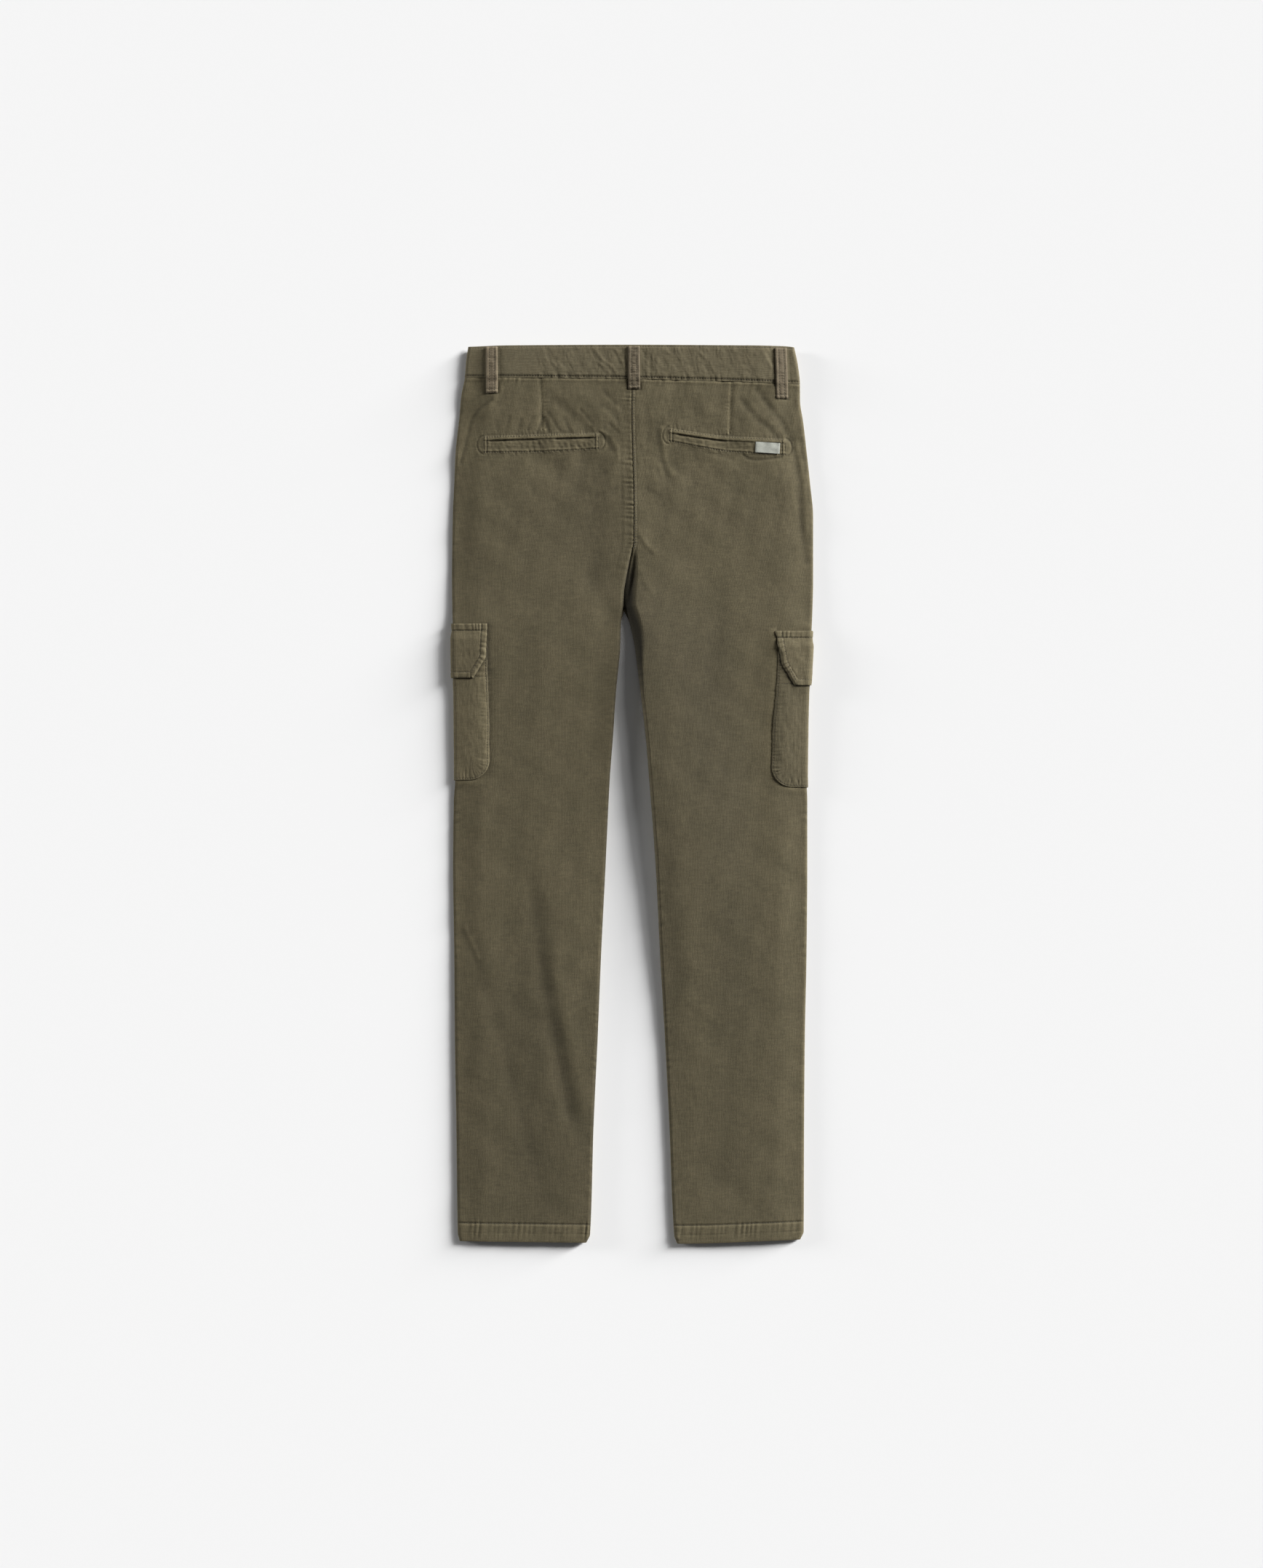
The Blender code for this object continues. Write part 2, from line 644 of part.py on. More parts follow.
def band_surface(facing, x_start, x_end, columns):
    """Outer face of a stretch of waistband and its normals.

    x_start and x_end are None where the stretch ends at a side fold.
    """
    arc = np.linspace(0, math.pi / 2, ARC_STEPS + 1)[:-1]
    quarter = math.pi / 2
    flat = np.linspace(0, 1, columns + 1)
    turn_left = np.full(len(flat), quarter)
    turn_right = np.full(len(flat), quarter)
    share = flat
    if x_start is None:
        turn_left = np.concatenate([arc, turn_left])
        turn_right = np.concatenate([np.full(len(arc), quarter), turn_right])
        share = np.concatenate([np.zeros(len(arc)), share])
    if x_end is None:
        turn_left = np.concatenate([turn_left, np.full(len(arc), quarter)])
        turn_right = np.concatenate([turn_right, arc[::-1]])
        share = np.concatenate([share, np.ones(len(arc))])

    down_share = np.array(BAND_ROWS)[:, None]
    nominal = down_share * WAIST_SEAM
    left = side_fold("left", nominal) + FOLD_REACH if x_start is None else x_start
    right = side_fold("right", nominal) - FOLD_REACH if x_end is None else x_end
    x = left + share * (right - left)
    x = x - FOLD_REACH * np.cos(turn_left) + FOLD_REACH * np.cos(turn_right)
    top = smooth(WAIST_LINE, "x", "top", x)
    if facing < 0:
        top = top + FRONT_WAIST_STEP
    seam = smooth(WAIST_LINE, "x", "seam", x) - HALF_GAP
    down = top + (seam - top) * down_share

    lift = WAIST_LIFT[0].height
    flat_z = np.full(x.shape, lift)
    if facing > 0:
        flat_z = lift + BAND_STACK + gather_relief(x, down_share)
    edge_z = lift + BAND_STACK / 2 + facing * HALF_GAP
    ease = np.array(BAND_EDGE_EASE)[:, None]
    flat_z = flat_z - facing * ease
    z = edge_z + (flat_z - edge_z) * np.sin(turn_left) * np.sin(turn_right)
    half = BAND_STACK / 2
    tilt_left = np.arctan2(FOLD_REACH * np.sin(turn_left), half * np.cos(turn_left))
    tilt_right = np.arctan2(FOLD_REACH * np.sin(turn_right), half * np.cos(turn_right))
    nx = np.cos(tilt_right) - np.cos(tilt_left)
    nz = facing * np.sin(tilt_left) * np.sin(tilt_right)
    nx = np.broadcast_to(nx, x.shape)
    nz = np.broadcast_to(nz, x.shape)
    points = np.stack([x, LENGTH / 2 - down, z], axis=-1)
    normals = np.stack([nx, np.zeros(x.shape), nz], axis=-1)
    return points, normals


def build_band(name, facing, x_start, x_end, columns):
    """A stretch of the waistband, eased at its upper and lower edges."""
    points, normals = band_surface(facing, x_start, x_end, columns)
    ease = np.array(BAND_EDGE_EASE)[:, None, None]
    inner = points - (BAND_CLOTH - 2 * ease) * normals
    return wall(name, points, inner, CORDUROY)


def build_pouch(side):
    """The cargo pocket's pouch, round the side fold, with round corners."""
    turns = np.linspace(0, math.pi / 2, 5)
    corner_start = POUCH_END - POUCH_CORNER
    plain = [POUCH_MOUTH]
    plain += [row.drop for row in POCKET_LIFT if POUCH_MOUTH < row.drop < corner_start]
    below = plain + [corner_start + POUCH_CORNER * math.sin(t) for t in turns]
    pull_in = [0.0] * len(plain) + [POUCH_CORNER * (1 - math.cos(t)) for t in turns]
    outer = []
    inner = []
    for depth, pull in zip(below, pull_in):
        edge = float(smooth(POUCH_EDGE, "below", side, depth)) - pull
        girth = wrap_columns(edge, POCKET_FRONT_WIDTH - pull)
        across = np.clip(girth / edge, 0, 1)
        down = np.clip((depth - 45) / (POUCH_END - 45), 0, 1)
        puff = POUCH_PUFF * np.sin(across * math.pi) ** 0.8 * math.sin(down * math.pi) ** 0.8
        drop = np.full(girth.shape, FLAP_TOP[side] + depth)
        outer.append(wrap_point(side, drop, girth, SEAM_GAP + POUCH_CLOTH + puff))
        inner.append(wrap_point(side, drop, girth, SEAM_GAP + puff))
    return wall("cargo_pouch_" + side, np.array(outer), np.array(inner), CORDUROY)


def build_flap(side):
    """The cargo pocket's flap, with a chamfer at each lower corner."""
    rows = (0.0, FLAP_BAND, 11.0, 16.0, 25.0, FLAP_STRAIGHT, 43.0, FLAP_DEPTH)
    outer = []
    inner = []
    for depth in rows:
        edge = float(straight(FLAP_EDGE, "below", side, depth))
        cut = max(0.0, (depth - FLAP_STRAIGHT) / (FLAP_DEPTH - FLAP_STRAIGHT))
        girth = wrap_columns(edge, POCKET_FRONT_WIDTH + FLAP_OVERHANG - FLAP_CHAMFER * cut)
        over = SEAM_GAP + (FLAP_OVER_POUCH - SEAM_GAP) * (1 - fade(depth - FLAP_BAND, 9.4))
        tip = FLAP_TIP_RISE * np.clip(girth / edge, 0, 1) * depth / FLAP_DEPTH
        drop = np.full(girth.shape, FLAP_TOP[side] + depth)
        outer.append(wrap_point(side, drop, girth, over + tip + FLAP_CLOTH))
        inner.append(wrap_point(side, drop, girth, over + tip))
    return wall("cargo_flap_" + side, np.array(outer), np.array(inner), CORDUROY)


def surface_probe(pieces):
    """A function that finds the height of built pieces below or above a point."""
    trees = []
    for piece in pieces:
        shape = bmesh.new()
        shape.from_mesh(piece.data)
        trees.append(BVHTree.FromBMesh(shape))
        shape.free()

    def height(x, drop, facing=1):
        start = Vector((x * MM, (LENGTH / 2 - drop) * MM, facing * 0.1))
        found = []
        for tree in trees:
            place = tree.ray_cast(start, Vector((0, 0, -facing)))[0]
            if place is not None:
                found.append(place.z / MM)
        return (max(found) if facing > 0 else min(found)) if found else None

    return height


def patch(name, x, drop, lift, thickness, ease, probe, colour):
    """A flat patch on the upper face: grids of x and drop, edges eased."""
    rows, columns = x.shape
    base = np.zeros(x.shape)
    for row in range(rows):
        for column in range(columns):
            base[row, column] = probe(x[row, column], drop[row, column])
    rim = np.zeros(x.shape, dtype=bool)
    rim[[0, -1], :] = True
    rim[:, [0, -1]] = True
    y = LENGTH / 2 - drop
    top = base + lift + thickness - np.where(rim, ease, 0.0)
    return wall(name, np.stack([x, y, top], axis=-1), np.stack([x, y, base + lift], axis=-1), colour)


def build_welt(side, probe):
    """The welt of a back pocket, a narrow strip on the seat."""
    rows = WELTS[side]
    x_line = np.linspace(rows[0].x, rows[-1].x, 13)
    ends = np.array([x_line[0] + 1.0, x_line[-1] - 1.0])
    x_line = np.sort(np.concatenate([x_line, ends]))
    top = smooth(rows, "x", "top", x_line)
    bottom = smooth(rows, "x", "bottom", x_line)
    share = np.array([0.0, 0.08, 0.5, 0.92, 1.0])[:, None]
    x = np.broadcast_to(x_line, (len(share), len(x_line)))
    drop = top + (bottom - top) * share
    return patch("back_welt_" + side, x, drop, SEAM_GAP, WELT_CLOTH, WELT_EASE, probe, CORDUROY)


def build_label(probe):
    """The plain label, turned a little on the right welt."""
    u, v = np.meshgrid(np.linspace(-0.5, 0.5, 4), np.linspace(-0.5, 0.5, 3))
    across = u * LABEL_SIZE[0]
    down = v * LABEL_SIZE[1]
    x = LABEL_CENTRE[0] + across * math.cos(LABEL_TURN) + down * math.sin(LABEL_TURN)
    drop = LABEL_CENTRE[1] - across * math.sin(LABEL_TURN) + down * math.cos(LABEL_TURN)
    lift = SEAM_GAP
    return patch("back_label", x, drop, lift, LABEL_THICKNESS, 0.0, probe, LABEL_CLOTH)


def build_back_loop(place, probe):
    """A belt loop that bows off the waistband between its sewn ends."""
    share = np.array([0.0, 0.05, 0.2, 0.4, 0.6, 0.78, 0.93, 1.0])[:, None]
    across = np.array([-0.5, -0.38, 0.0, 0.38, 0.5]) * LOOP_WIDTH
    x = place.x_top + (place.x_end - place.x_top) * share + across
    drop = np.broadcast_to(place.top + (place.end - place.top) * share, x.shape)
    base = np.zeros(share.shape)
    for row in range(len(share)):
        reach = np.linspace(-0.5, 0.5, 7) * LOOP_WIDTH
        middle = place.x_top + (place.x_end - place.x_top) * share[row, 0]
        heights = [probe(middle + step, max(drop[row, 0], 3.6)) for step in reach]
        base[row, 0] = max(height for height in heights if height is not None)
    base[1:-2] = np.maximum(base[1:-2], base[0])
    bow = np.sin(share * math.pi) ** 0.7 * (LOOP_STAND_OFF - SEAM_GAP)
    under = np.broadcast_to(base + SEAM_GAP + bow, x.shape)
    ease = np.array([LOOP_EASE, 0.0, 0.0, 0.0, LOOP_EASE])
    end_ease = np.zeros(share.shape)
    end_ease[[0, -1]] = LOOP_EASE
    upper = under + LOOP_CLOTH - np.maximum(ease, end_ease)
    y = LENGTH / 2 - drop
    outer = np.stack([x, y, upper], axis=-1)
    inner = np.stack([x, y, under], axis=-1)
    return wall(place.name, outer, inner, CORDUROY_DARK)


def build_front_loop(place):
    """A belt loop under the front of the waistband, flat on the floor."""
    share = np.array([0.0, 1.0])[:, None]
    across = np.array([-0.5, 0.5]) * LOOP_WIDTH
    x = np.broadcast_to(place.x_top + across, (2, 2))
    drop = np.broadcast_to(place.top + (place.end - place.top) * share, x.shape)
    y = LENGTH / 2 - drop
    floor = np.zeros(x.shape)
    outer = np.stack([x, y, floor + FRONT_LOOP_CLOTH], axis=-1)
    inner = np.stack([x, y, floor], axis=-1)
    return wall(place.name, outer, inner, CORDUROY_DARK)


def build_fly(probe):
    """The fly: a strip that curves in to the centre seam at its end."""
    turns = np.linspace(0, math.pi / 2, 5)
    curve = FLY_END - FLY_STRAIGHT
    straight_rows = np.linspace(WAIST_SEAM + 1.0, FLY_STRAIGHT, 6)[:-1]
    drops = list(straight_rows) + [FLY_STRAIGHT + curve * math.sin(t) for t in turns]
    widths = [FLY_WIDTH] * len(straight_rows)
    widths += [FLY_TIP + (FLY_WIDTH - FLY_TIP) * math.cos(t) for t in turns]
    outer = []
    inner = []
    for drop, width in zip(drops, widths):
        seam_x = float(smooth(SEAT_SEAM, "drop", "x", drop))
        reach = np.linspace(seam_x + FLY_LAP, seam_x + FLY_LAP - width, 5)
        heights = np.array([probe(x, drop, -1) for x in reach + 1e-3])
        y = np.full(reach.shape, LENGTH / 2 - drop)
        upper = heights - SEAM_GAP
        outer.append(np.stack([reach, y, upper], axis=-1))
        inner.append(np.stack([reach, y, upper - FLY_CLOTH], axis=-1))
    return wall("fly", np.array(outer), np.array(inner), CORDUROY)


def build_button():
    """The waist button, a plain disc on the front."""
    shape = bmesh.new()
    bmesh.ops.create_cone(
        shape,
        cap_ends=True,
        segments=24,
        radius1=BUTTON_RADIUS * MM,
        radius2=BUTTON_RADIUS * MM,
        depth=BUTTON_THICKNESS * MM,
    )
    mesh = bpy.data.meshes.new("waist_button")
    shape.to_mesh(mesh)
    shape.free()
    mesh.shade_smooth()
    mesh.set_sharp_from_angle(angle=math.radians(50))
    piece = new_object("waist_button", mesh, BUTTON_HORN, roughness=0.45)
    x, drop = BUTTON_CENTRE
    piece.location = (x * MM, (LENGTH / 2 - drop) * MM, BUTTON_THICKNESS / 2 * MM)
    bevel = piece.modifiers.new("edge", "BEVEL")
    bevel.width = BUTTON_BEVEL * MM
    bevel.segments = 2
    bevel.limit_method = "ANGLE"
    return piece


def main():
    """Build every piece of the trousers."""
    for item in list(bpy.data.objects):
        bpy.data.objects.remove(item, do_unlink=True)
    backs = {side: build_panel(side, 1) for side in SIDES}
    fronts = {side: build_panel(side, -1) for side in SIDES}
    band = build_band("waistband_back", 1, None, None, BACK_BAND_COLUMNS)
    joint_left = BAND_JOINT - HALF_GAP
    joint_right = BAND_JOINT + HALF_GAP
    build_band("waistband_front_left", -1, None, joint_left, FRONT_BAND_COLUMNS)
    build_band("waistband_front_right", -1, joint_right, None, FRONT_BAND_COLUMNS)
    for side in SIDES:
        build_pouch(side)
        build_flap(side)
    seat = surface_probe(list(backs.values()))
    welts = [build_welt(side, seat) for side in SIDES]
    build_label(surface_probe(welts))
    waist = surface_probe([band] + list(backs.values()))
    for place in BACK_LOOPS:
        build_back_loop(place, waist)
    for place in FRONT_LOOPS:
        build_front_loop(place)
    build_fly(surface_probe(list(fronts.values())))
    build_button()


main()
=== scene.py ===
"""Looks of the cargo trousers: corduroy shells, sewing, floor, light and camera.

The trousers lie back side up on the floor at z = 0, waist towards +Y, the
wearer's left leg at -X.  Sizes are in millimetres and turned into metres when
a mesh is made.  Across the garment x is measured from its middle line, and
down the garment a drop is measured from the top of the waist.

Every piece of cloth is a grid of points on the outside of its wall, on which
folds, puckers and seams are worked out as heights, and a coarser grid on the
inside.  Sewing is laid along the same surfaces.
"""

import logging
import math
from dataclasses import dataclass
from enum import Enum
from typing import Callable, ClassVar, NamedTuple, Sequence

import bpy
import numpy as np
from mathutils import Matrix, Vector


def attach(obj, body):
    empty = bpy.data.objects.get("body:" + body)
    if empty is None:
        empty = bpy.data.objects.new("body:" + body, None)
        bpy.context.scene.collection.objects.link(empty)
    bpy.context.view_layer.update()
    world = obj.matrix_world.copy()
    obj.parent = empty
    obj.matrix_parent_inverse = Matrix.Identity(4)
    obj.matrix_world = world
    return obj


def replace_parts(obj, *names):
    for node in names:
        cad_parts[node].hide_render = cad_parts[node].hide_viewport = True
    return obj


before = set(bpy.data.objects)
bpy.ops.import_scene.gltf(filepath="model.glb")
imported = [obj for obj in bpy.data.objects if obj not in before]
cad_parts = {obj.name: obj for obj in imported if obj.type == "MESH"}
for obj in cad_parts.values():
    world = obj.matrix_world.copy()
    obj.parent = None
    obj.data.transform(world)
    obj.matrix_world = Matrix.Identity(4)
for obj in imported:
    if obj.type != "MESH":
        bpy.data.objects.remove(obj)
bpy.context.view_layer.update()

LOG = logging.getLogger("trousers")
BODY = "root"

Array = np.ndarray
Path = tuple[Array, Array]
TURN = 2 * math.pi
QUARTER = math.pi / 2

# --- sizes, in millimetres

MM = 0.001
LENGTH = 865.0
SEAM_GAP = 0.3
HALF_GAP = SEAM_GAP / 2

CLOTH = 1.2
HEM_CLOTH = 2.0
HEM_DEPTH = 17.5
BAND_CLOTH = 2.4
POUCH_CLOTH = 1.0
FLAP_CLOTH = 1.2
FRONT_LOOP_CLOTH = 2.3
FLY_CLOTH = 1.3

LEG_STACK = 6.0
BAND_STACK = 6.8
BAND_SINK = 1.4
FOLD_REACH = 3.2
CROTCH_REACH = 12.0
FOLD_ARC = QUARTER * math.sqrt((FOLD_REACH**2 + (LEG_STACK / 2) ** 2) / 2)

FORK = 250.6
WAIST_SEAM = 34.0
HEM_END = 863.0
EDGE_FADE = 60.0
FRONT_WAIST_STEP = 3.0
LOOP_WIDTH = 11.5
FLAP_DEPTH = 52.5
POUCH_END = 151.0
POUCH_CORNER = 20.0

STITCH = 2.6
WALE = 1.47


class Side(Enum):
    """The wearer's legs: LEFT lies at -X."""

    LEFT = "left"
    RIGHT = "right"


class Facing(Enum):
    """Which way a piece faces: BACK is on top."""

    BACK = "back"
    FRONT = "front"

    @property
    def up(self) -> float:
        """1 for the side on top and -1 for the side on the floor."""
        return 1.0 if self is Facing.BACK else -1.0


class Slot(Enum):
    """The record's material slots."""

    CORDUROY = "corduroy"
    LABEL = "label_cloth"
    BUTTON = "button"


# --- lines and fields


@dataclass(frozen=True)
class Line:
    """A value that changes along a length, given at a few places.

    Attributes:
        places: where the values are given, rising.
        values: the values there.
        rounded: a smooth curve that never overshoots, or else straight runs.
    """

    places: tuple[float, ...]
    values: tuple[float, ...]
    rounded: bool = True

    def __call__(self, at: Array | float) -> Array:
        """Read the line.

        A rounded line is a cubic Hermite curve whose slope at an inner place
        is the harmonic mean of the slopes beside it, or 0 where they differ
        in sign.

        Args:
            at: the places to read it at; beyond the ends it keeps its value.

        Returns:
            The values there.
        """
        xs = np.array(self.places, dtype=float)
        ys = np.array(self.values, dtype=float)
        if not self.rounded:
            return np.interp(at, xs, ys)
        at = np.clip(np.asarray(at, dtype=float), xs[0], xs[-1])
        rises = np.diff(ys) / np.diff(xs)
        same_way = rises[1:] * rises[:-1] > 0
        total = np.where(same_way, rises[1:] + rises[:-1], 1.0)
        middle = np.where(same_way, 2 * rises[1:] * rises[:-1] / total, 0.0)
        slopes = np.concatenate([rises[:1], middle, rises[-1:]])
        index = np.clip(np.searchsorted(xs, at) - 1, 0, len(xs) - 2)
        span = xs[index + 1] - xs[index]
        t = (at - xs[index]) / span
        start = (2 * t**3 - 3 * t**2 + 1) * ys[index] + (t**3 - 2 * t**2 + t) * span * slopes[index]
        end = (-2 * t**3 + 3 * t**2) * ys[index + 1] + (t**3 - t**2) * span * slopes[index + 1]
        return start + end


def line(rows: Sequence[tuple], column: int = 1, rounded: bool = True) -> Line:
    """Make a Line from the first column of a table and another one."""
    return Line(tuple(row[0] for row in rows), tuple(row[column] for row in rows), rounded)


def fade(distance: Array | float, length: float) -> Array:
    """1 up to distance 0, easing to 0 at the given length."""
    t = np.clip(1 - np.asarray(distance, dtype=float) / length, 0, 1)
    return t * t * (3 - 2 * t)


def bell(distance: Array | float, width: float) -> Array:
    """A bell curve: 1 at distance 0 and about a third at the width."""
    return np.exp(-((np.asarray(distance, dtype=float) / width) ** 2))


def beads(along: Array, swing: float, pitch: float = STITCH) -> Array:
    """A cosine along a row of stitches: 1 at most, and lower by twice the swing."""
    return 1 - swing + swing * np.cos(TURN * along / pitch)


@dataclass(frozen=True)
class Ripple:
    """An uneven surface with no repeat: a sum of seeded plane waves.

    Attributes:
        seed: seed of the waves' directions, lengths and phases.
        across: length of a typical wave in x.
        along: length of a typical wave in y.
        count: how many waves are summed.
    """

    seed: int
    across: float
    along: float
    count: int = 14

    def __call__(self, x: Array, y: Array) -> Array:
        """Height at (x, y), mostly from -1 to 1.

        Each wave is cos(2 pi k (x cos a / across + y sin a / along) + phase)
        with its own k from 0.6 to 1.5, direction a and phase.
        """
        rng = np.random.default_rng(self.seed)
        total = np.zeros(np.broadcast(x, y).shape)
        for _ in range(self.count):
            turn, phase = rng.uniform(0, TURN, 2)
            waves = rng.uniform(0.6, 1.5) * TURN
            run = x * (math.cos(turn) / self.across) + y * (math.sin(turn) / self.along)
            total = total + np.cos(waves * run + phase)
        return total / math.sqrt(self.count)

    def along_line(self, at: Array) -> Array:
        """Height along a line, from 0 across it."""
        return self(at, 0 * at)


@dataclass(frozen=True)
class Puckers:
    """Small waves along a seam, uneven in strength, spacing and reach.

    Attributes:
        pitch: usual distance from one pucker to the next.
        reach: how far they run out from the seam.
        height: height of a strong one.
        seed: seed of their unevenness.
        lean: how far they lean along the seam for each millimetre out.
        least: the weakest one's share of the height.
    """

    pitch: float
    reach: float
    height: float
    seed: int
    lean: float = 0.0
    least: float = 0.05

    def __call__(self, along: Array, off: Array) -> Array:
        """Height at a distance along the seam and a distance out from it.

        It is a row of round ridges with sharp valleys, |cos(pi place / pitch)|,
        under a bell curve in the distance out.  Slow random waves shift the
        place and change strength and reach.
        """
        slow, shift, spread = (
            Ripple(self.seed + i, (5 - i) * self.pitch, 1.0, 9).along_line(along) for i in range(3)
        )
        strength = np.clip(0.55 + 0.6 * slow, self.least, 1.4)
        place = (along + self.lean * off) / self.pitch + 0.45 * shift
        wave = 1.9 * np.abs(np.cos(math.pi * place)) - 1.2
        reach = self.reach * np.clip(0.85 + 0.4 * spread, 0.4, 1.6)
        return self.height * strength * wave * bell(off, reach)


# --- outline tables: each row starts with a place, most often a drop

# Drop, and x of the side fold on the left and on the right.
SIDE_FOLDS = (
    (0, -158, 156), (16, -160, 159.6), (34, -161.3, 161.6), (50, -164.5, 161.7), (71, -166.6, 164.5),
    (102, -170.1, 168), (134, -171.5, 171.5), (165, -172.9, 174.3), (228, -173.6, 174.3),
    (256, -173.2, 173.6), (280, -172.4, 172.4), (312, -171.9, 171), (338, -171.1, 169.2),
    (375, -170.8, 168.4), (417, -170.5, 168), (440, -171.9, 168.7), (501, -172.6, 168.7),
    (585, -171.5, 168), (669, -170.8, 166.3), (753, -169.4, 165.6), (855, -168, 165.2),
    (863, -166.3, 161.9),
)
# Drop, and x of the inside leg on the left and on the right.
INSIDE_LEGS = (
    (FORK, -8.4, -8.4), (260, -9.9, -5), (270, -10.8, -2.1), (291, -11.4, 2.3), (312, -13.3, 5),
    (333, -15.4, 7.7), (375, -18.2, 12.6), (417, -21.4, 16.1), (501, -25.5, 22.4), (585, -29.7, 26.6),
    (669, -33.2, 31.5), (753, -37.1, 35.7), (855, -40.4, 40.3), (863, -44, 43),
)
# Drop, and x of the seat seam and of the centre front seam.
SEAT_SEAM = line((
    (31, 0), (60, -0.7), (158, 1.4), (190, 1.2), (199, -0.7), (211, -3.2), (225, -5.8), (237, -7.7),
    (FORK, -8.4),
))
# x, and drops of the waistband's upper edge and of its seam.
WAIST_ROWS = (
    (-161, 1.6, 31.2), (-120, 0.6, 31.6), (0, 0, 32.9), (80, 0.4, 35), (145, 1, 37), (161, 2.6, 37.5),
)
WAIST_TOP = line(WAIST_ROWS, 1)
WAIST_LINE = line(WAIST_ROWS, 2)
# x, and drop of the hem's lower edge.
HEM_LINE = line(((-168, 862.6), (-44, 864), (43, 865), (165, 861)))

# Drop, how far an edge at the centre is rounded down, and over what reach.
CENTRE_ROWS = (
    (180, 0, FOLD_REACH), (195, 0.15, 5), (207, 0.5, 8), (220, 0.85, 11), (237, 1, CROTCH_REACH),
    (262, 1, CROTCH_REACH), (291, 1, 8), (333, 1, FOLD_REACH),
)
CENTRE_ROUNDING = line(CENTRE_ROWS, 1, rounded=False)
CENTRE_REACH = line(CENTRE_ROWS, 2, rounded=False)

# How far things on the front lift it off the floor.
WAIST_LIFT = line(((50, 2.6), (66, 2.1), (84, 1.2), (100, 0.4), (114, 0)), rounded=False)
FLY_LIFT = line(((132, 1.6), (150, 0.7), (168, 0)), rounded=False)
FLY_LIFT_REACH = 34.0
FLY_LIFT_FADE = 34.0

# By drop below the flap's top: lift off the floor, swell of the upper face
# over the pocket, and sink of the upper face towards the side fold.
POCKET_LIFT = line(
    (
        (-20, 0), (-12, 1), (-3, 2.8), (54, 2.8), (63, 2), (72, 1.3), (153, 1.3), (163, 0.7), (175, 0),
    ),
    rounded=False,
)
POCKET_LIFT_REACH = 72.0
POCKET_LIFT_FADE = 26.0
POCKET_SWELL = line(((-75, 0), (-35, 0.5), (0, 1.5), (40, 1.8), (75, 1.2), (130, 0.7), (205, 0)))
POCKET_SWELL_REACH = 36.0
POCKET_SWELL_FADE = 80.0
SIDE_SINK = line((
    (-236, 1.2), (-200, 2.6), (-30, 2.6), (-12, 2.4), (-3, 1.8), (54, 1.9), (63, 2.6), (72, 2.8),
    (140, 2.6), (153, 2.3), (163, 2.6), (190, 2.6), (595, 1.6),
))
SIDE_SINK_REACH = 30.0

# By drop below the flap's top: reach in from the side fold, left and right.
POUCH_EDGE = ((20, 34.5, 33), (60, 34.5, 33.2), (92, 35, 35), (130, 34.8, 35.6))
FLAP_EDGE = ((0, 35, 36.5), (33, 33, 29), (52.5, 20.5, 15.5))
FLAP_TOPS = {Side.LEFT: 268.0, Side.RIGHT: 275.0}

# x, and drops of a back pocket welt's upper and lower edges.
WELTS = {
    Side.LEFT: ((-142.8, 88.7, 103.6), (-80.7, 86.8, 102.5), (-32.9, 85.4, 99.8)),
    Side.RIGHT: ((35.7, 81.2, 92.6), (94.2, 88.9, 102.6), (147, 91, 105.7)),
}

# x of a dart at the waist seam and at its end, and the drop of its end.
DARTS = {Side.LEFT: (-87.0, -85.5, 85.0), Side.RIGHT: (95.0, 93.0, 88.0)}
DART_HALF = 3.0
DART_DEPTH = 0.7

# By drop: how far the legs swell, and how far the right one's inner edge
# stands up; how far the front laps at the crotch; width and depth of the
# hollow where the right leg dips under the left, and how dark its painted shade is.
LEG_RISE = {
    Side.LEFT: line(((200, 0), (300, 1.3), (520, 1.2), (800, 0.3))),
    Side.RIGHT: line(((200, 0), (262, 0.8), (330, 0.8), (500, 0.8), (660, 0.8), (820, 0.3))),
}
INNER_LIFT = line((
    (205, 0), (225, 1), (246, 3.2), (262, 5.2), (280, 7.2), (305, 9.2), (340, 10.4), (390, 10.6),
    (456, 9.2), (520, 6.4), (578, 3.7), (648, 0.6), (718, -0.6), (850, -1.2),
))
INNER_LIFT_REACH = 104.0
CROTCH_LAP = line(((240, 0), (250, 1.8), (257, 1.4), (264, 0)))
HOLLOW_WIDTH = line(((196, 4.5), (208, 7), (232, 10), (276, 10.5), (310, 6)))
HOLLOW_DEPTH = line(((196, 0), (208, 2.2), (230, 3.9), (250, 3.6), (276, 1.6), (300, 0)))
HOLLOW_SHADE = line(((196, 0), (208, 0.26), (230, 0.45), (290, 0.45), (316, 0.26), (350, 0)))

# By drop: how the wales lean outwards in degrees, and the painted light
# and shade that drift down both legs and down the right one's turned side.
WALE_LEAN = {
    Side.LEFT: line(((34, 8), (158, 8), (242, 0), (863, 0.3))),
    Side.RIGHT: line(((34, -7), (242, -7), (368, -2.8), (648, -0.5), (863, 0.5))),
}
LEG_SHADE = line((
    (0, 0.06), (104, 0.06), (150, 0), (440, 0), (540, 0.02), (650, -0.06), (800, -0.07), (843, -0.06),
    (849, 0),
))
TURNED_SHADE = line(((210, 0), (280, -0.13), (440, -0.13), (600, -0.12), (700, -0.05), (863, -0.02)))


class LoopPlace(NamedTuple):
    """A belt loop: the middle at its top and at its lower end, and a shift of its tone, painted lighter on
    the left one against the shade of the sloping band.
    """

    name: str
    x_top: float
    x_end: float
    top: float
    end: float
    painted_tone: float = 0.0


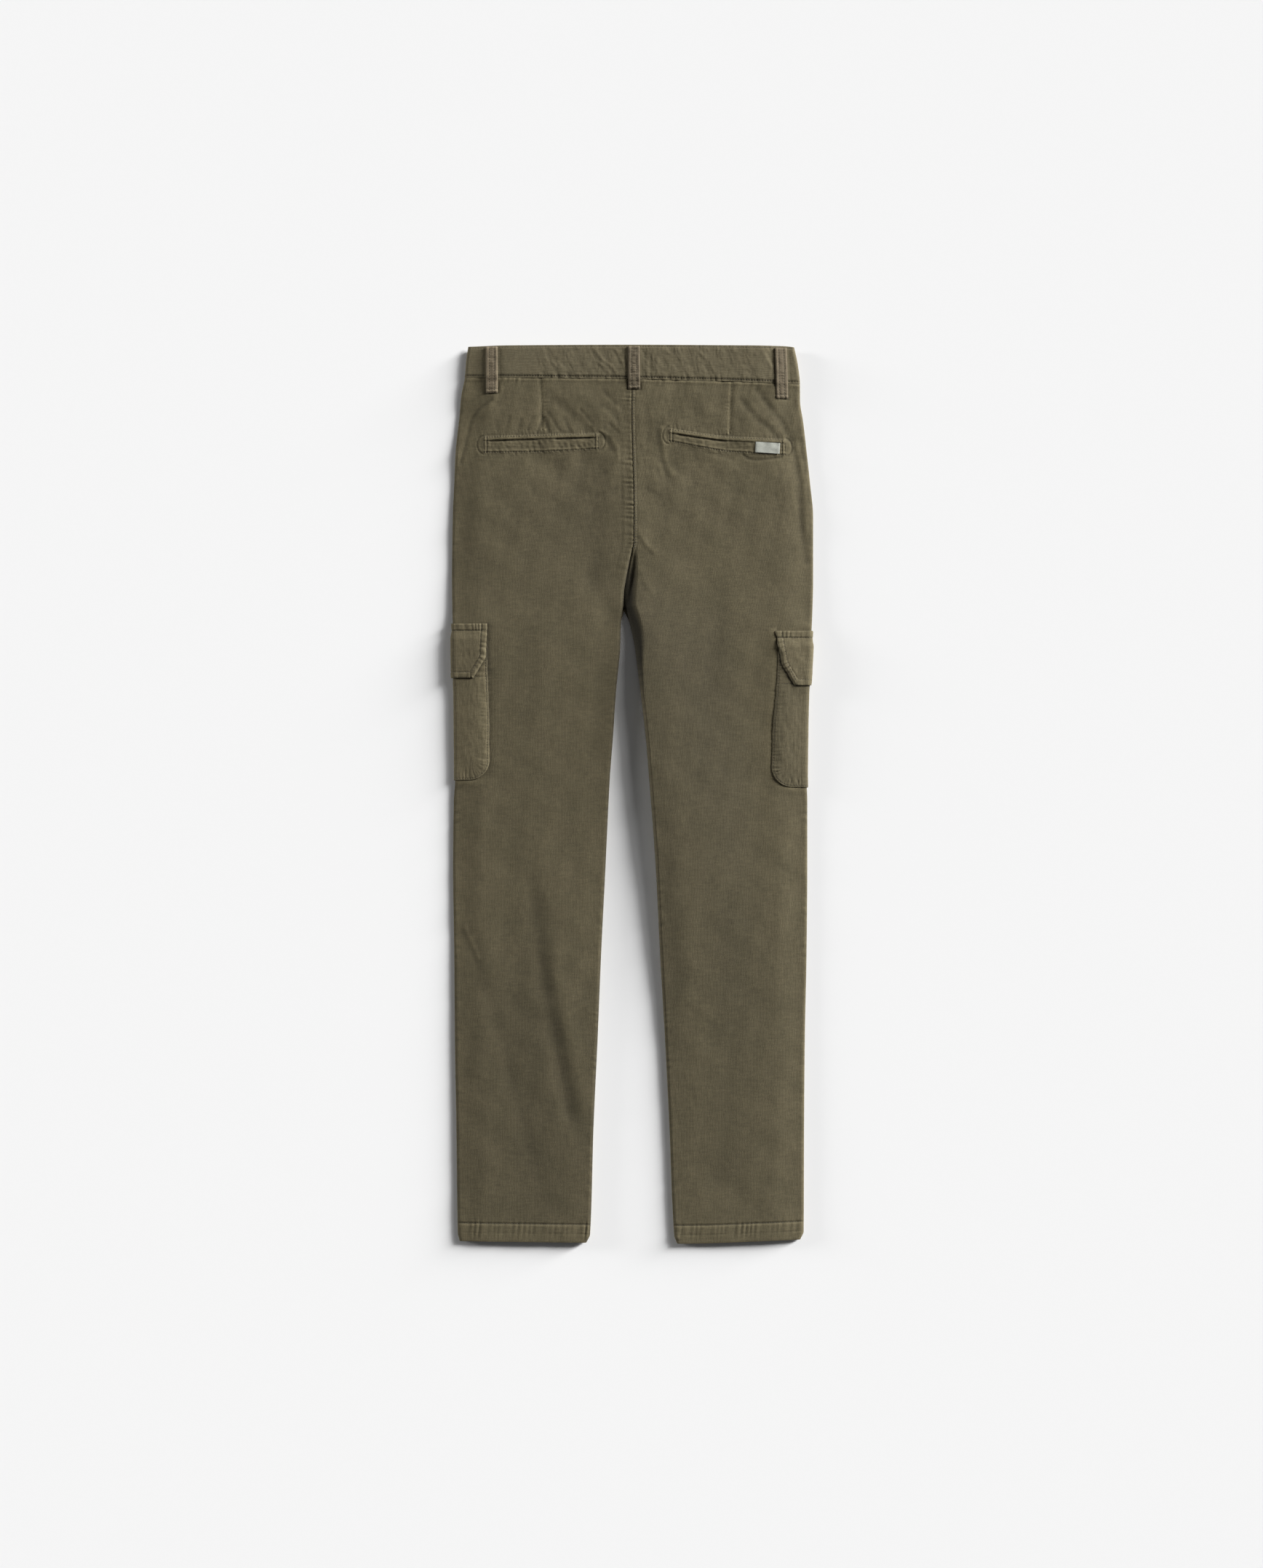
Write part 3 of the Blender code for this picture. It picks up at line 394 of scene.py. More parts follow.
BACK_LOOPS = (
    LoopPlace("belt_loop_back_left", -135.2, -135.0, 1.8, 46.3, 0.20),
    LoopPlace("belt_loop_back_centre", 1.6, 1.9, 1.2, 42.5, -0.06),
    LoopPlace("belt_loop_back_right", 143.0, 144.5, 2.6, 51.5, -0.02),
)
FRONT_LOOPS = (
    LoopPlace("belt_loop_front_left", -84.0, -84.0, 5.0, 46.0),
    LoopPlace("belt_loop_front_right", 84.0, 84.0, 5.0, 46.0),
)

# --- folds: each is a soft trough or ridge along a line of points,
# (half its width, height, (x, drop), (x, drop), ...)

Fold = tuple

# The main folds of the back, also carved in the solids.
MAIN_FOLDS: tuple[Fold, ...] = (
    (10, -1.2, (-79, 652), (-59.5, 736)),
    (10, -0.7, (-94, 536), (-83, 620)),
    (9, -0.7, (-151, 571), (-145.5, 620)),
    (10, -0.35, (28, 470), (36, 560), (42, 620)),
    (8, -0.9, (112.5, 58), (138, 87)),
    (8, -0.8, (125, 47.5), (154, 89)),
    (8, -0.7, (-57.5, 62), (-40, 82)),
    (9, -0.8, (32, 108), (30, 132)),
    (7, 0.5, (9, 160), (10, 190)),
    (7, 0.15, (-133, 51), (-163, 108)),
)

# Smaller ones: what is under the back presses through it, and it crumples.
SMALL_FOLDS: tuple[Fold, ...] = (
    # the left hip
    (1.9, -0.45, (-135.5, 53.4), (-146.4, 60.7), (-153.7, 69.8), (-157.4, 82.5), (-161, 97), (-165, 113)),
    (3.4, 0.2, (-134, 60), (-145, 66), (-150.5, 75), (-153.5, 88), (-156, 104)),
    (2.6, 0.3, (-137, 59), (-131, 50), (-126, 43)),
    # the left yoke
    (8, 0.6, (-57.5, 62), (-40, 82)),
    (6, 0.4, (-80, 39), (-64, 52), (-50, 66), (-36, 79)),
    (5, -0.3, (-70, 56), (-56, 70), (-44, 82)),
    (1.6, -0.3, (-50, 62), (-38, 76)),
    (2.6, -0.32, (-26, 47), (-17, 57)),
    (2.6, -0.30, (-28, 59), (-21, 64), (-14, 73)),
    (2.2, 0.3, (-24, 52), (-14, 62)),
    (1.8, -0.3, (-22, 76), (-14, 84)),
    (2.2, 0.35, (-30, 83), (-20, 88), (-15, 98), (-13, 110)),
    (2.3, -0.28, (-30, 88), (-23, 93), (-19, 102)),
    (1.6, -0.4, (-86, 70), (-91, 84)),
    (1.6, -0.4, (-85, 70), (-80, 84)),
    (1.8, -0.35, (-80, 66), (-70, 83)),
    (1.8, -0.3, (-96, 70), (-101, 82)),
    (1.8, -0.3, (-107, 72), (-110, 83)),
    (2, -0.3, (-66, 70), (-60, 83)),
    (2.2, -0.3, (-118, 70), (-122, 84)),
    # the left seat, where the pocket's bag ends under it
    (15, -0.7, (-42, 112), (-41, 160), (-36, 222)),
    (2.6, -0.15, (-34, 146), (-22, 141), (-14, 137)),
    (14, -0.35, (-66, 122), (-60, 176)),
    (12, -0.4, (-150, 210), (-130, 246)),
    (9, -0.4, (-40, 222), (-20, 262)),
    # the right seat
    (5, -0.4, (12, 60), (17, 90)),
    (6, -0.3, (52, 46), (62, 66)),
    (3.2, -0.25, (14, 139), (25, 145)),
    (2.4, -0.22, (24, 120), (26, 127)),
    (3.2, 0.3, (5, 177), (9, 186), (14, 193), (22, 200)),
    (2.6, -0.22, (6, 186), (11, 194), (18, 200)),
    (3.4, 0.15, (8, 216), (12, 228), (19, 237)),
    (3, -0.12, (6, 222), (12, 236)),
    (3, 0.45, (28.5, 81), (30, 96), (32, 110), (37.7, 124)),
    (7, 0.3, (37.7, 124), (59, 139)),
    (5, -0.4, (24, 78), (27, 100), (33, 126)),
    (9, 0.5, (32, 108), (30, 132)),
    (9, -0.35, (44, 118), (64, 137)),
    # the right yoke and hip
    (3.4, -0.35, (104, 52), (109, 57), (118, 70), (129, 77), (140, 90)),
    (3.4, 0.3, (112, 54), (122, 68), (133, 76)),
    (3.6, -0.35, (120, 44), (125, 50), (136, 64), (147, 77), (152.6, 91.6)),
    (3.6, 0.3, (132, 52), (142, 66), (151, 79)),
    (4, -0.45, (152.6, 91.6), (156, 102.6), (160, 124.5), (161.6, 150), (163.4, 179), (167, 208)),
    (3.2, 0.35, (158, 98), (165, 126), (167, 150), (168.5, 180)),
    (1.4, -0.5, (107, 106.2), (112, 109.6), (118, 110.6), (130, 110), (143, 108)),
    (2.2, -0.3, (72, 104), (96, 109)),
    # the left lower leg
    (9, 0.5, (-79, 652), (-59.5, 736)),
    (9, 0.4, (-151, 571), (-145.5, 620)),
    (8.5, -0.42, (-95, 516), (-89, 582), (-79.7, 633), (-67.3, 698), (-57.8, 749), (-48, 764)),
    (8, -0.34, (-87, 594), (-79.7, 633), (-72, 672)),
    (7, -0.38, (-69, 688), (-60, 738)),
    (11, 0.6, (-78, 590), (-69, 633), (-55, 698), (-49, 731)),
    (7.5, -0.32, (-159, 567), (-146.4, 603.5), (-122.7, 676), (-115.4, 713), (-90, 800)),
    (26, -0.7, (-104, 560), (-104, 680), (-92, 830)),
    (2.4, 0.3, (-161, 560), (-148, 590)),
    (4, 0.14, (-64, 645), (-48, 634)),
    (3.4, -0.12, (-62, 640), (-47, 629)),
    (3.6, -0.14, (-55, 706), (-37, 697)),
    # the right lower leg
    (3.6, -0.12, (52, 636), (64, 645), (78, 654)),
    (22, -0.7, (88, 560), (92, 690), (80, 800)),
    (10, 0.3, (56, 800), (70, 830)),
    # the thighs
    (9, -0.35, (-30, 300), (-34, 400)),
    (10, -0.35, (-60, 440), (-56, 520)),
    (14, -0.4, (84, 240), (80, 330)),
    (14, -0.4, (-96, 250), (-104, 350)),
)

# Folds of the front, pushed up from the floor.
FRONT_FOLDS: tuple[Fold, ...] = (
    (10, 0.9, (-60, 640), (-76, 730)),
    (9, 0.7, (-128, 560), (-120, 640)),
    (10, 0.8, (52, 470), (42, 600)),
    (9, 0.8, (110, 640), (122, 730)),
    (8, 0.7, (-60, 150), (-40, 190)),
    (5, 0.5, (-66, 132), (-48, 172)),
    (8, 0.7, (70, 140), (46, 184)),
    (6, 0.5, (60, 200), (30, 226)),
    (6, 0.5, (-40, 210), (-20, 236)),
    (7, 0.5, (96, 770), (90, 820)),
    (7, 0.5, (-110, 770), (-102, 830)),
    (9, 0.6, (-40, 420), (-46, 500)),
)

# Creases that cross the waistband on a slant.
BAND_CREASES: tuple[Fold, ...] = (
    (2.025, -0.48, (-5, 5), (-4.6, 34)),
    (1.755, -0.26, (9, 6), (9, 34)),
    (1.62, -0.26, (-142, 5), (-142, 34)),
    (1.62, -0.26, (-128.4, 5), (-128.4, 34)),
    (1.62, -0.3, (135.4, 5), (136, 36)),
    (1.62, -0.22, (150.6, 5), (151.2, 36)),
    (1.755, 0.22, (-35, 5.6), (-28.4, 15.6)),
    (1.755, 0.24, (-28.4, 15.6), (-20.7, 21)),
    (1.755, 0.24, (-20.7, 21), (-14.1, 30)),
    (1.89, -0.2, (-38, 6.6), (-31, 17)),
    (1.755, 0.22, (-30.6, 18.9), (-21.8, 27.5)),
    (1.755, -0.2, (-33, 20), (-25, 30)),
    (1.755, 0.22, (-15.3, 5.7), (-9.8, 16.7)),
    (1.755, 0.22, (-9.8, 16.7), (-7, 26)),
    (1.89, -0.2, (-18, 7), (-12.4, 18)),
    (1.62, -0.22, (-10, 4), (-6, 14)),
    (1.89, 0.2, (-76.5, 17.8), (-68.9, 26)),
    (1.89, 0.17, (-71, 17.8), (-65.5, 25.5)),
    (2.16, -0.17, (-74, 14), (-67, 20)),
    (1.89, 0.15, (-85.8, 3.5), (-82.6, 14.5)),
    (2.16, -0.15, (-83, 4), (-79, 15)),
    (1.62, -0.24, (11.8, 9), (12, 31)),
    (1.62, -0.2, (17.2, 10), (17.5, 31)),
    (1.755, 0.17, (32, 4.6), (37.5, 10)),
    (1.755, 0.15, (44, 5), (48, 12)),
    (1.62, 0.15, (47.5, 25), (53, 21.5)),
    (1.755, 0.2, (61.5, 4.6), (70.3, 12.3)),
    (1.755, 0.13, (70.3, 12.3), (76, 21)),
    (1.89, 0.13, (98, 6), (106, 9)),
    (1.89, 0.13, (112, 5), (121, 9)),
    (2.025, 0.2, (125, 5.7), (133.7, 18.9)),
    (2.025, 0.17, (133.7, 18.9), (136.5, 31)),
    (2.025, -0.15, (131, 7), (137, 17)),
)

# Ridges that lean across the elasticated waistband: (x, lean, half width, height).
GATHERS = (
    (-128, 0.1, 4.5, 0.25), (-112, -0.2, 5, 0.35), (-94, 0.3, 4, 0.35), (-82, -0.3, 3.6, 0.45),
    (-66, 0.1, 4.2, 0.35), (-53, 0.6, 3.6, 0.55), (-41, 0.7, 3.4, 0.65), (-30, 0.5, 3.2, 0.7),
    (-21, -0.4, 3.2, 0.65), (-11, 0.2, 3.4, 0.55), (14, 0.4, 3.2, 0.6), (24, 0.7, 3.4, 0.6),
    (35, 0.3, 3.2, 0.65), (45, -0.4, 3.4, 0.55), (56, 0.5, 3.4, 0.6), (67, 0.2, 3.2, 0.65),
    (77, -0.3, 3.4, 0.55), (88, 0.4, 3.2, 0.6), (98, -0.1, 3.4, 0.6), (109, 0.3, 3.4, 0.55),
    (119, -0.2, 3.4, 0.45), (130, 0.2, 4, 0.35),
)
GATHER_REACH = 14.0


def gather_height(x: Array, share: Array) -> Array:
    """Height of the waistband's gathers: a bell curve across each leaning ridge."""
    height = np.zeros(np.broadcast(x, share).shape)
    for middle, lean, half_width, tall in GATHERS:
        away = x - middle - lean * GATHER_REACH * (0.5 - share)
        height += 0.10 * tall * bell(away, 1.3 * half_width)
    return height


def creases(folds: Sequence[Fold], x: Array, drop: Array) -> Array:
    """Height that folds add: a bell curve in the distance from each one's line.

    Args:
        folds: the folds.
        x: places across.
        drop: places down.

    Returns:
        The summed height.
    """
    height = np.zeros(np.broadcast(x, drop).shape)
    for half_width, tall, *points in folds:
        near = np.full(height.shape, np.inf)
        for (x0, drop0), (x1, drop1) in zip(points, points[1:]):
            run_x = x1 - x0
            run_drop = drop1 - drop0
            along = ((x - x0) * run_x + (drop - drop0) * run_drop) / (run_x**2 + run_drop**2)
            along = np.clip(along, 0, 1)
            away = (x - x0 - along * run_x) ** 2 + (drop - drop0 - along * run_drop) ** 2
            near = np.minimum(near, away)
        height += tall * np.exp(-near / half_width**2)
    return height


# --- the garment's form


def spot(x: Array, drop: Array, z: Array) -> Array:
    """Points at a place across, a drop and a height."""
    return np.stack([x, LENGTH / 2 - drop, z], axis=-1)


def stand(from_fold: Array) -> Array:
    """How far the waist stands off the floor: not at all at the side folds."""
    return 1 - fade(from_fold - 6, 34)


class Leg:
    """One leg's outline and the smooth heights of its two faces."""

    def __init__(self, side: Side) -> None:
        """Pick this leg's lines out of the tables."""
        self.side = side
        self.is_left = side is Side.LEFT
        self.inward = 1.0 if self.is_left else -1.0
        column = 1 if self.is_left else 2
        self.fold = line(SIDE_FOLDS, column)
        self.inside_leg = line(INSIDE_LEGS, column)
        self.pouch_edge = line(POUCH_EDGE, column)
        self.flap_edge = line(FLAP_EDGE, column, rounded=False)
        self.flap_top = FLAP_TOPS[side]
        welt = WELTS[side]
        self.welt_top = line(welt, 1)
        self.welt_bottom = line(welt, 2)
        self.welt_start = welt[0][0]
        self.welt_end = welt[-1][0]

    def inner(self, drop: Array) -> Array:
        """x of the inner edge: the centre seam, then the inside-leg fold."""
        edge = np.where(drop < FORK, SEAT_SEAM(drop), self.inside_leg(drop))
        return edge - self.inward * HALF_GAP

    def from_fold(self, x: Array, drop: Array) -> Array:
        """Distance from the side fold."""
        return np.abs(x - self.fold(drop))

    def from_inner(self, x: Array, drop: Array) -> Array:
        """Distance from the inner edge."""
        return np.abs(x - self.inner(drop))

    def from_dart(self, x: Array, drop: Array) -> Array:
        """Distance towards +X from the dart's line."""
        x0, x1, end = DARTS[self.side]
        return x - x0 - (x1 - x0) * (drop - WAIST_SEAM) / (end - WAIST_SEAM)

    def floor(self, x: Array, drop: Array) -> Array:
        """Height of the front's underside, over what is sewn on the front."""
        from_fold = self.from_fold(x, drop)
        pocket = POCKET_LIFT(drop - self.flap_top)
        pocket = pocket * fade(from_fold - POCKET_LIFT_REACH, POCKET_LIFT_FADE)
        fly = FLY_LIFT(drop) * fade(np.abs(x) - FLY_LIFT_REACH, FLY_LIFT_FADE)
        return np.maximum(np.maximum(pocket, WAIST_LIFT(drop) * stand(from_fold)), fly)

    def upper(self, x: Array, drop: Array) -> Array:
        """Height of the back's upper face before its folds."""
        from_fold = self.from_fold(x, drop)
        below = drop - self.flap_top
        swell = POCKET_SWELL(below) * fade(from_fold - POCKET_SWELL_REACH, POCKET_SWELL_FADE)
        sink = SIDE_SINK(below) * fade(from_fold, SIDE_SINK_REACH)
        return LEG_STACK + swell - sink + WAIST_LIFT(drop) * stand(from_fold)

    def carved(self, x: Array, drop: Array) -> Array:
        """Height of the back's upper face with its main folds and dart."""
        end = DARTS[self.side][2]
        valley = DART_DEPTH * bell(self.from_dart(x, drop), DART_HALF) * fade(drop - end + 8, 8)
        return self.upper(x, drop) + creases(MAIN_FOLDS, x, drop) - valley

    def swell(self, x: Array, drop: Array) -> Array:
        """How far the leg stands up: least at the inner edge, none by the pocket."""
        seam = self.from_inner(x, drop)
        edge = 0.0 if self.is_left else INNER_LIFT(drop) * fade(seam - 5, INNER_LIFT_REACH)
        by_pocket = fade(self.from_fold(x, drop) - 44, 44)
        return edge + LEG_RISE[self.side](drop) * (1 - bell(seam, 22.0)) * (1 - by_pocket)

    def hollow(self, x: Array, drop: Array) -> Array:
        """Share of the hollow where the right leg dips under the left, which also carries its painted
        shade.
        """
        if self.is_left:
            return 0.0 * x
        wide = HOLLOW_WIDTH(drop)
        return fade(self.from_inner(x, drop) - 0.4 * wide, 0.8 * wide)

    def pocket_reach(self, drop: Array) -> Array:
        """How far from the side fold the cargo pocket's edge lies in x."""
        below = drop - self.flap_top
        turn = np.arcsin(np.clip((below - POUCH_END + POUCH_CORNER) / POUCH_CORNER, 0, 1))
        pouch = self.pouch_edge(below) - POUCH_CORNER * (1 - np.cos(turn))
        flap = np.where(below < FLAP_DEPTH, self.flap_edge(below), 0.0)
        return np.maximum(flap, pouch) - 1.7

    def fold_middle(self, x: Array, drop: Array) -> tuple[Array, Array]:
        """Height of the middle of a fold, and half its height."""
        lower = self.floor(x, drop)
        upper = self.upper(x, drop)
        return (lower + upper) / 2, (upper - lower) / 2

    def wrap(self, drop: Array, girth: Array, out: Array | float) -> Array:
        """A point on the outside round the side fold, moved out.

        girth is the way round from the fold's middle: positive on the back and
        negative on the front.  The fold is half an ellipse.
        """
        turn = np.clip(np.abs(girth) / FOLD_ARC, 0, 1) * QUARTER
        across = FOLD_REACH * (1 - np.cos(turn)) + np.maximum(np.abs(girth) - FOLD_ARC, 0)
        fold_x = self.fold(drop)
        x = fold_x + self.inward * across
        face = np.where(girth >= 0, self.carved(x, drop), self.floor(x, drop))
        fold_z, half = self.fold_middle(fold_x, drop)
        z = fold_z + (face - fold_z) * np.sin(turn)
        tilt = np.arctan2(FOLD_REACH * np.sin(turn), half * np.cos(turn))
        z = z + out * np.where(girth >= 0, 1.0, -1.0) * np.sin(tilt)
        return spot(x - out * self.inward * np.cos(tilt), drop, np.maximum(z, 0.0))


LEGS = {side: Leg(side) for side in Side}


def band_faces(x: Array, drop: Array) -> tuple[Array, Array]:
    """Heights of the waistband's underside and upper side: less at the side folds."""
    left = x - LEGS[Side.LEFT].fold(drop)
    from_fold = np.minimum(left, LEGS[Side.RIGHT].fold(drop) - x)
    low = WAIST_LIFT.values[0] * stand(from_fold)
    return low, low + BAND_STACK - BAND_SINK * fade(from_fold, SIDE_SINK_REACH)


def beside_loops(x: Array, drop: Array) -> Array:
    """The narrow strip round the lower ends of the belt loops."""
    total = np.zeros(np.broadcast(x, drop).shape)
    for loop in BACK_LOOPS:
        away = np.abs(x - loop.x_end) - LOOP_WIDTH / 2
        total += bell(np.maximum(away, drop - loop.end) - 0.4, 1.0)
    return total


# --- mesh building


class Finish(NamedTuple):
    """A material and the record's slot that it belongs to."""

    slot: Slot
    material: bpy.types.Material


def grid_rim(rows: int, columns: int) -> Array:
    """Indices once round the edge of a grid."""
    grid = np.arange(rows * columns).reshape(rows, columns)
    return np.concatenate([grid[0, :-1], grid[:-1, -1], grid[-1, :0:-1], grid[:0:-1, 0]])


def grid_quads(rows: int, columns: int) -> Array:
    """Corner indices of a grid's cells."""
    grid = np.arange(rows * columns).reshape(rows, columns)
    corners = (grid[:-1, :-1], grid[:-1, 1:], grid[1:, 1:], grid[1:, :-1])
    return np.stack(corners, axis=-1).reshape(-1, 4)


@dataclass
class Wall:
    """A closed wall of cloth as grids.

    Attributes:
        outer: points of the outside, rows by columns by 3.
        inner: points of the inside, or a height of it for each outer point.
        cloth: place on the cloth, (across the wales, along them), by point.
        tone: how light the pile is at each outer point, about 0.5, from wear, painted shade and painted
            light.
        coarse: cells of the outside for each cell of the inside.
    """

    outer: Array
    inner: Array
    cloth: Array
    tone: Array
    coarse: int = 1

    def __post_init__(self) -> None:
        """Thin the inside out and keep the tone from 0 to 1."""
        if self.inner.ndim < 3:
            self.inner = np.concatenate([self.outer[..., :2], self.inner[..., None]], axis=-1)
        self.inner = self.inner[:: self.coarse, :: self.coarse]
        self.tone = np.clip(self.tone, 0, 1)

    def _rim_faces(self, first_inner: int) -> tuple[Array, Array]:
        """Faces that join the fine outer edge to the coarse inner one."""
        outer = grid_rim(*self.outer.shape[:2])
        inner = grid_rim(*self.inner.shape[:2]) + first_inner
        after = np.roll(inner, -1)
        step = self.coarse
        if step == 1:
            quads = np.stack([np.roll(outer, -1), outer, inner, after], axis=-1)
            return quads, np.zeros((0, 3), dtype=int)
        chains = outer.reshape(-1, step)
        chains = np.concatenate([chains, np.roll(chains[:, :1], -1, axis=0)], axis=1)
        half = step // 2
        faces = [np.stack([chains[:, half], inner, after], axis=-1)]
        for i in range(step):
            apex = inner if i < half else after
            faces.append(np.stack([chains[:, i + 1], chains[:, i], apex], axis=-1))
        return np.zeros((0, 4), dtype=int), np.concatenate(faces)

    def build(self, name: str, finish: Finish) -> bpy.types.Object:
        """Make the object, with its faces pointing out."""
        first_inner = self.outer.shape[0] * self.outer.shape[1]
        points = np.concatenate([self.outer.reshape(-1, 3), self.inner.reshape(-1, 3)])
        out_quads = grid_quads(*self.outer.shape[:2])
        in_quads = grid_quads(*self.inner.shape[:2])[:, ::-1] + first_inner
        rim_quads, rim_triangles = self._rim_faces(first_inner)
        quads = np.concatenate([out_quads, in_quads, rim_quads])
        corners = points[out_quads]
        normals = np.cross(corners[:, 1] - corners[:, 0], corners[:, 3] - corners[:, 0])
        outward = self.outer[:: self.coarse, :: self.coarse] - self.inner
        if np.sum(normals.sum(0) * outward.reshape(-1, 3).sum(0)) < 0:
            quads = quads[:, ::-1]
            rim_triangles = rim_triangles[:, ::-1]
        picked = self.cloth[:: self.coarse, :: self.coarse]
        cloth = np.concatenate([self.cloth.reshape(-1, 2), picked.reshape(-1, 2)])
        tone = np.concatenate([self.tone.ravel(), np.full(len(points) - first_inner, 0.5)])
        return make_piece(name, points, quads.tolist() + rim_triangles.tolist(), finish, cloth, tone)

    def lay(self, node: str, flat: Array, rests: str, finish: Finish, kind: str = "cloth") -> None:
        """Make the wall the piece that shows in a CAD node's place, and work out its sheet's size.

        Args:
            node: the CAD node's name.
            flat: points of the cloth without its creases, for its flat size.
            rests: names of what it lies on, parted by spaces; not used.
            finish: its finish.
            kind: what its name ends with.
        """
        piece = self.build(f"{node}_{kind}", finish)
        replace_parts(piece, node)
        width, length, area = sheet_size(flat)


def make_piece(
    name: str,
    points: Array,
    faces: list,
    finish: Finish,
    cloth: Array | None = None,
    tone: Array | None = None,
) -> bpy.types.Object:
    """Make a mesh object from points in millimetres, with edges over 50 degrees sharp.

    Args:
        name: the piece's name.
        points: its points.
        faces: its faces as lists of indices.
        finish: its material and slot.
        cloth: place on the cloth of each point, in millimetres.
        tone: lightness of the pile at each point, from wear, painted shade and painted light.

    Returns:
        The object, riding on the garment's body.
    """
    mesh = bpy.data.meshes.new(name)
    mesh.from_pydata((points * MM).tolist(), [], faces)
    if cloth is not None:
        corners = np.zeros(len(mesh.loops), dtype=np.int32)
        mesh.loops.foreach_get("vertex_index", corners)
        layer = mesh.uv_layers.new(name="cloth")
        layer.data.foreach_set("uv", cloth[corners].astype(np.float32).ravel())
    if tone is not None:
        attribute = mesh.attributes.new("tone", "FLOAT", "POINT")
        attribute.data.foreach_set("value", tone.astype(np.float32))
    mesh.shade_smooth()
    mesh.set_sharp_from_angle(angle=math.radians(50))
    mesh.materials.append(finish.material)
    piece = bpy.data.objects.new(name, mesh)
    bpy.context.scene.collection.objects.link(piece)
    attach(piece, BODY)
    LOG.info("%s: %d faces", name, len(mesh.polygons))
    return piece


def crowded(stops: Sequence[float], spacings: Sequence[float], count: int) -> Array:
    """Places from the first stop to the last, closer together where it says so.

    Args:
        stops: where the spacing changes.
        spacings: the spacing of each stretch, up to a common factor.
        count: how many steps there are in all.

    Returns:
        count + 1 places.
    """
    lengths = np.diff(stops) / np.array(spacings)
    marks = np.concatenate([[0.0], np.cumsum(lengths)])
    return np.interp(np.linspace(0, marks[-1], count + 1), marks, stops)


def soften(values: Array, reach: int) -> Array:
    """Average over a square of cells, with the edges carried on outwards."""
    count = 2 * reach + 1
    for axis in (0, 1):
        padding = [(0, 0), (0, 0)]
        padding[axis] = (reach + 1, reach)
        padded = np.pad(values, padding, mode="edge").cumsum(axis=axis)
        size = values.shape[axis]
        high = np.take(padded, np.arange(count, count + size), axis=axis)
        low = np.take(padded, np.arange(size), axis=axis)
        values = (high - low) / count
    return values


def wear_and_groove_shade(relief: Array, reach: int, strength: float = 0.5) -> Array:
    """Lightness of the pile: ridges are lighter from wear, and grooves are darkened as painted shade.

    It is 0.5 plus the strength times the height above the mean nearby.
    """
    return np.clip(0.5 + strength * (relief - soften(relief, reach)), 0.0, 1.0)


def sheet_size(outer: Array) -> tuple[float, float, float]:
    """Greatest width and length of a grid along its cloth, and its area, in metres."""
    across = np.linalg.norm(np.diff(outer, axis=1), axis=-1)
    down = np.linalg.norm(np.diff(outer, axis=0), axis=-1)
    cell = (across[1:] + across[:-1]) / 2 * (down[:, 1:] + down[:, :-1]) / 2
    return across.sum(1).max() * MM, down.sum(0).max() * MM, cell.sum() * MM**2


# --- materials


class Maths:
    """A number socket in a material, on which Python's operators add nodes."""

    def __init__(self, finish: "Nodes", socket: bpy.types.NodeSocket) -> None:
        """Wrap a socket of the finish's tree."""
        self.finish = finish
        self.socket = socket

    def _with(self, kind: str, *values: "Maths | float") -> "Maths":
        """Add a Math node of this kind."""
        return self.finish.number("ShaderNodeMath", values, operation=kind)

    def __add__(self, other: "Maths | float") -> "Maths":
        """Sum."""
        return self._with("ADD", self, other)

    def __rsub__(self, other: float) -> "Maths":
        """Difference from a number."""
        return self._with("SUBTRACT", other, self)

    def __mul__(self, other: "Maths | float") -> "Maths":
        """Product."""
        return self._with("MULTIPLY", self, other)

    def __truediv__(self, other: "Maths | float") -> "Maths":
        """Quotient."""
        return self._with("DIVIDE", self, other)

    def __pow__(self, other: float) -> "Maths":
        """Power."""
        return self._with("POWER", self, other)

    def cosine(self) -> "Maths":
        """Cosine, of radians."""
        return self._with("COSINE", self)

    def clipped(self) -> "Maths":
        """Kept from 0 to 1."""
        return self.finish.number("ShaderNodeClamp", (self, 0.0, 1.0))


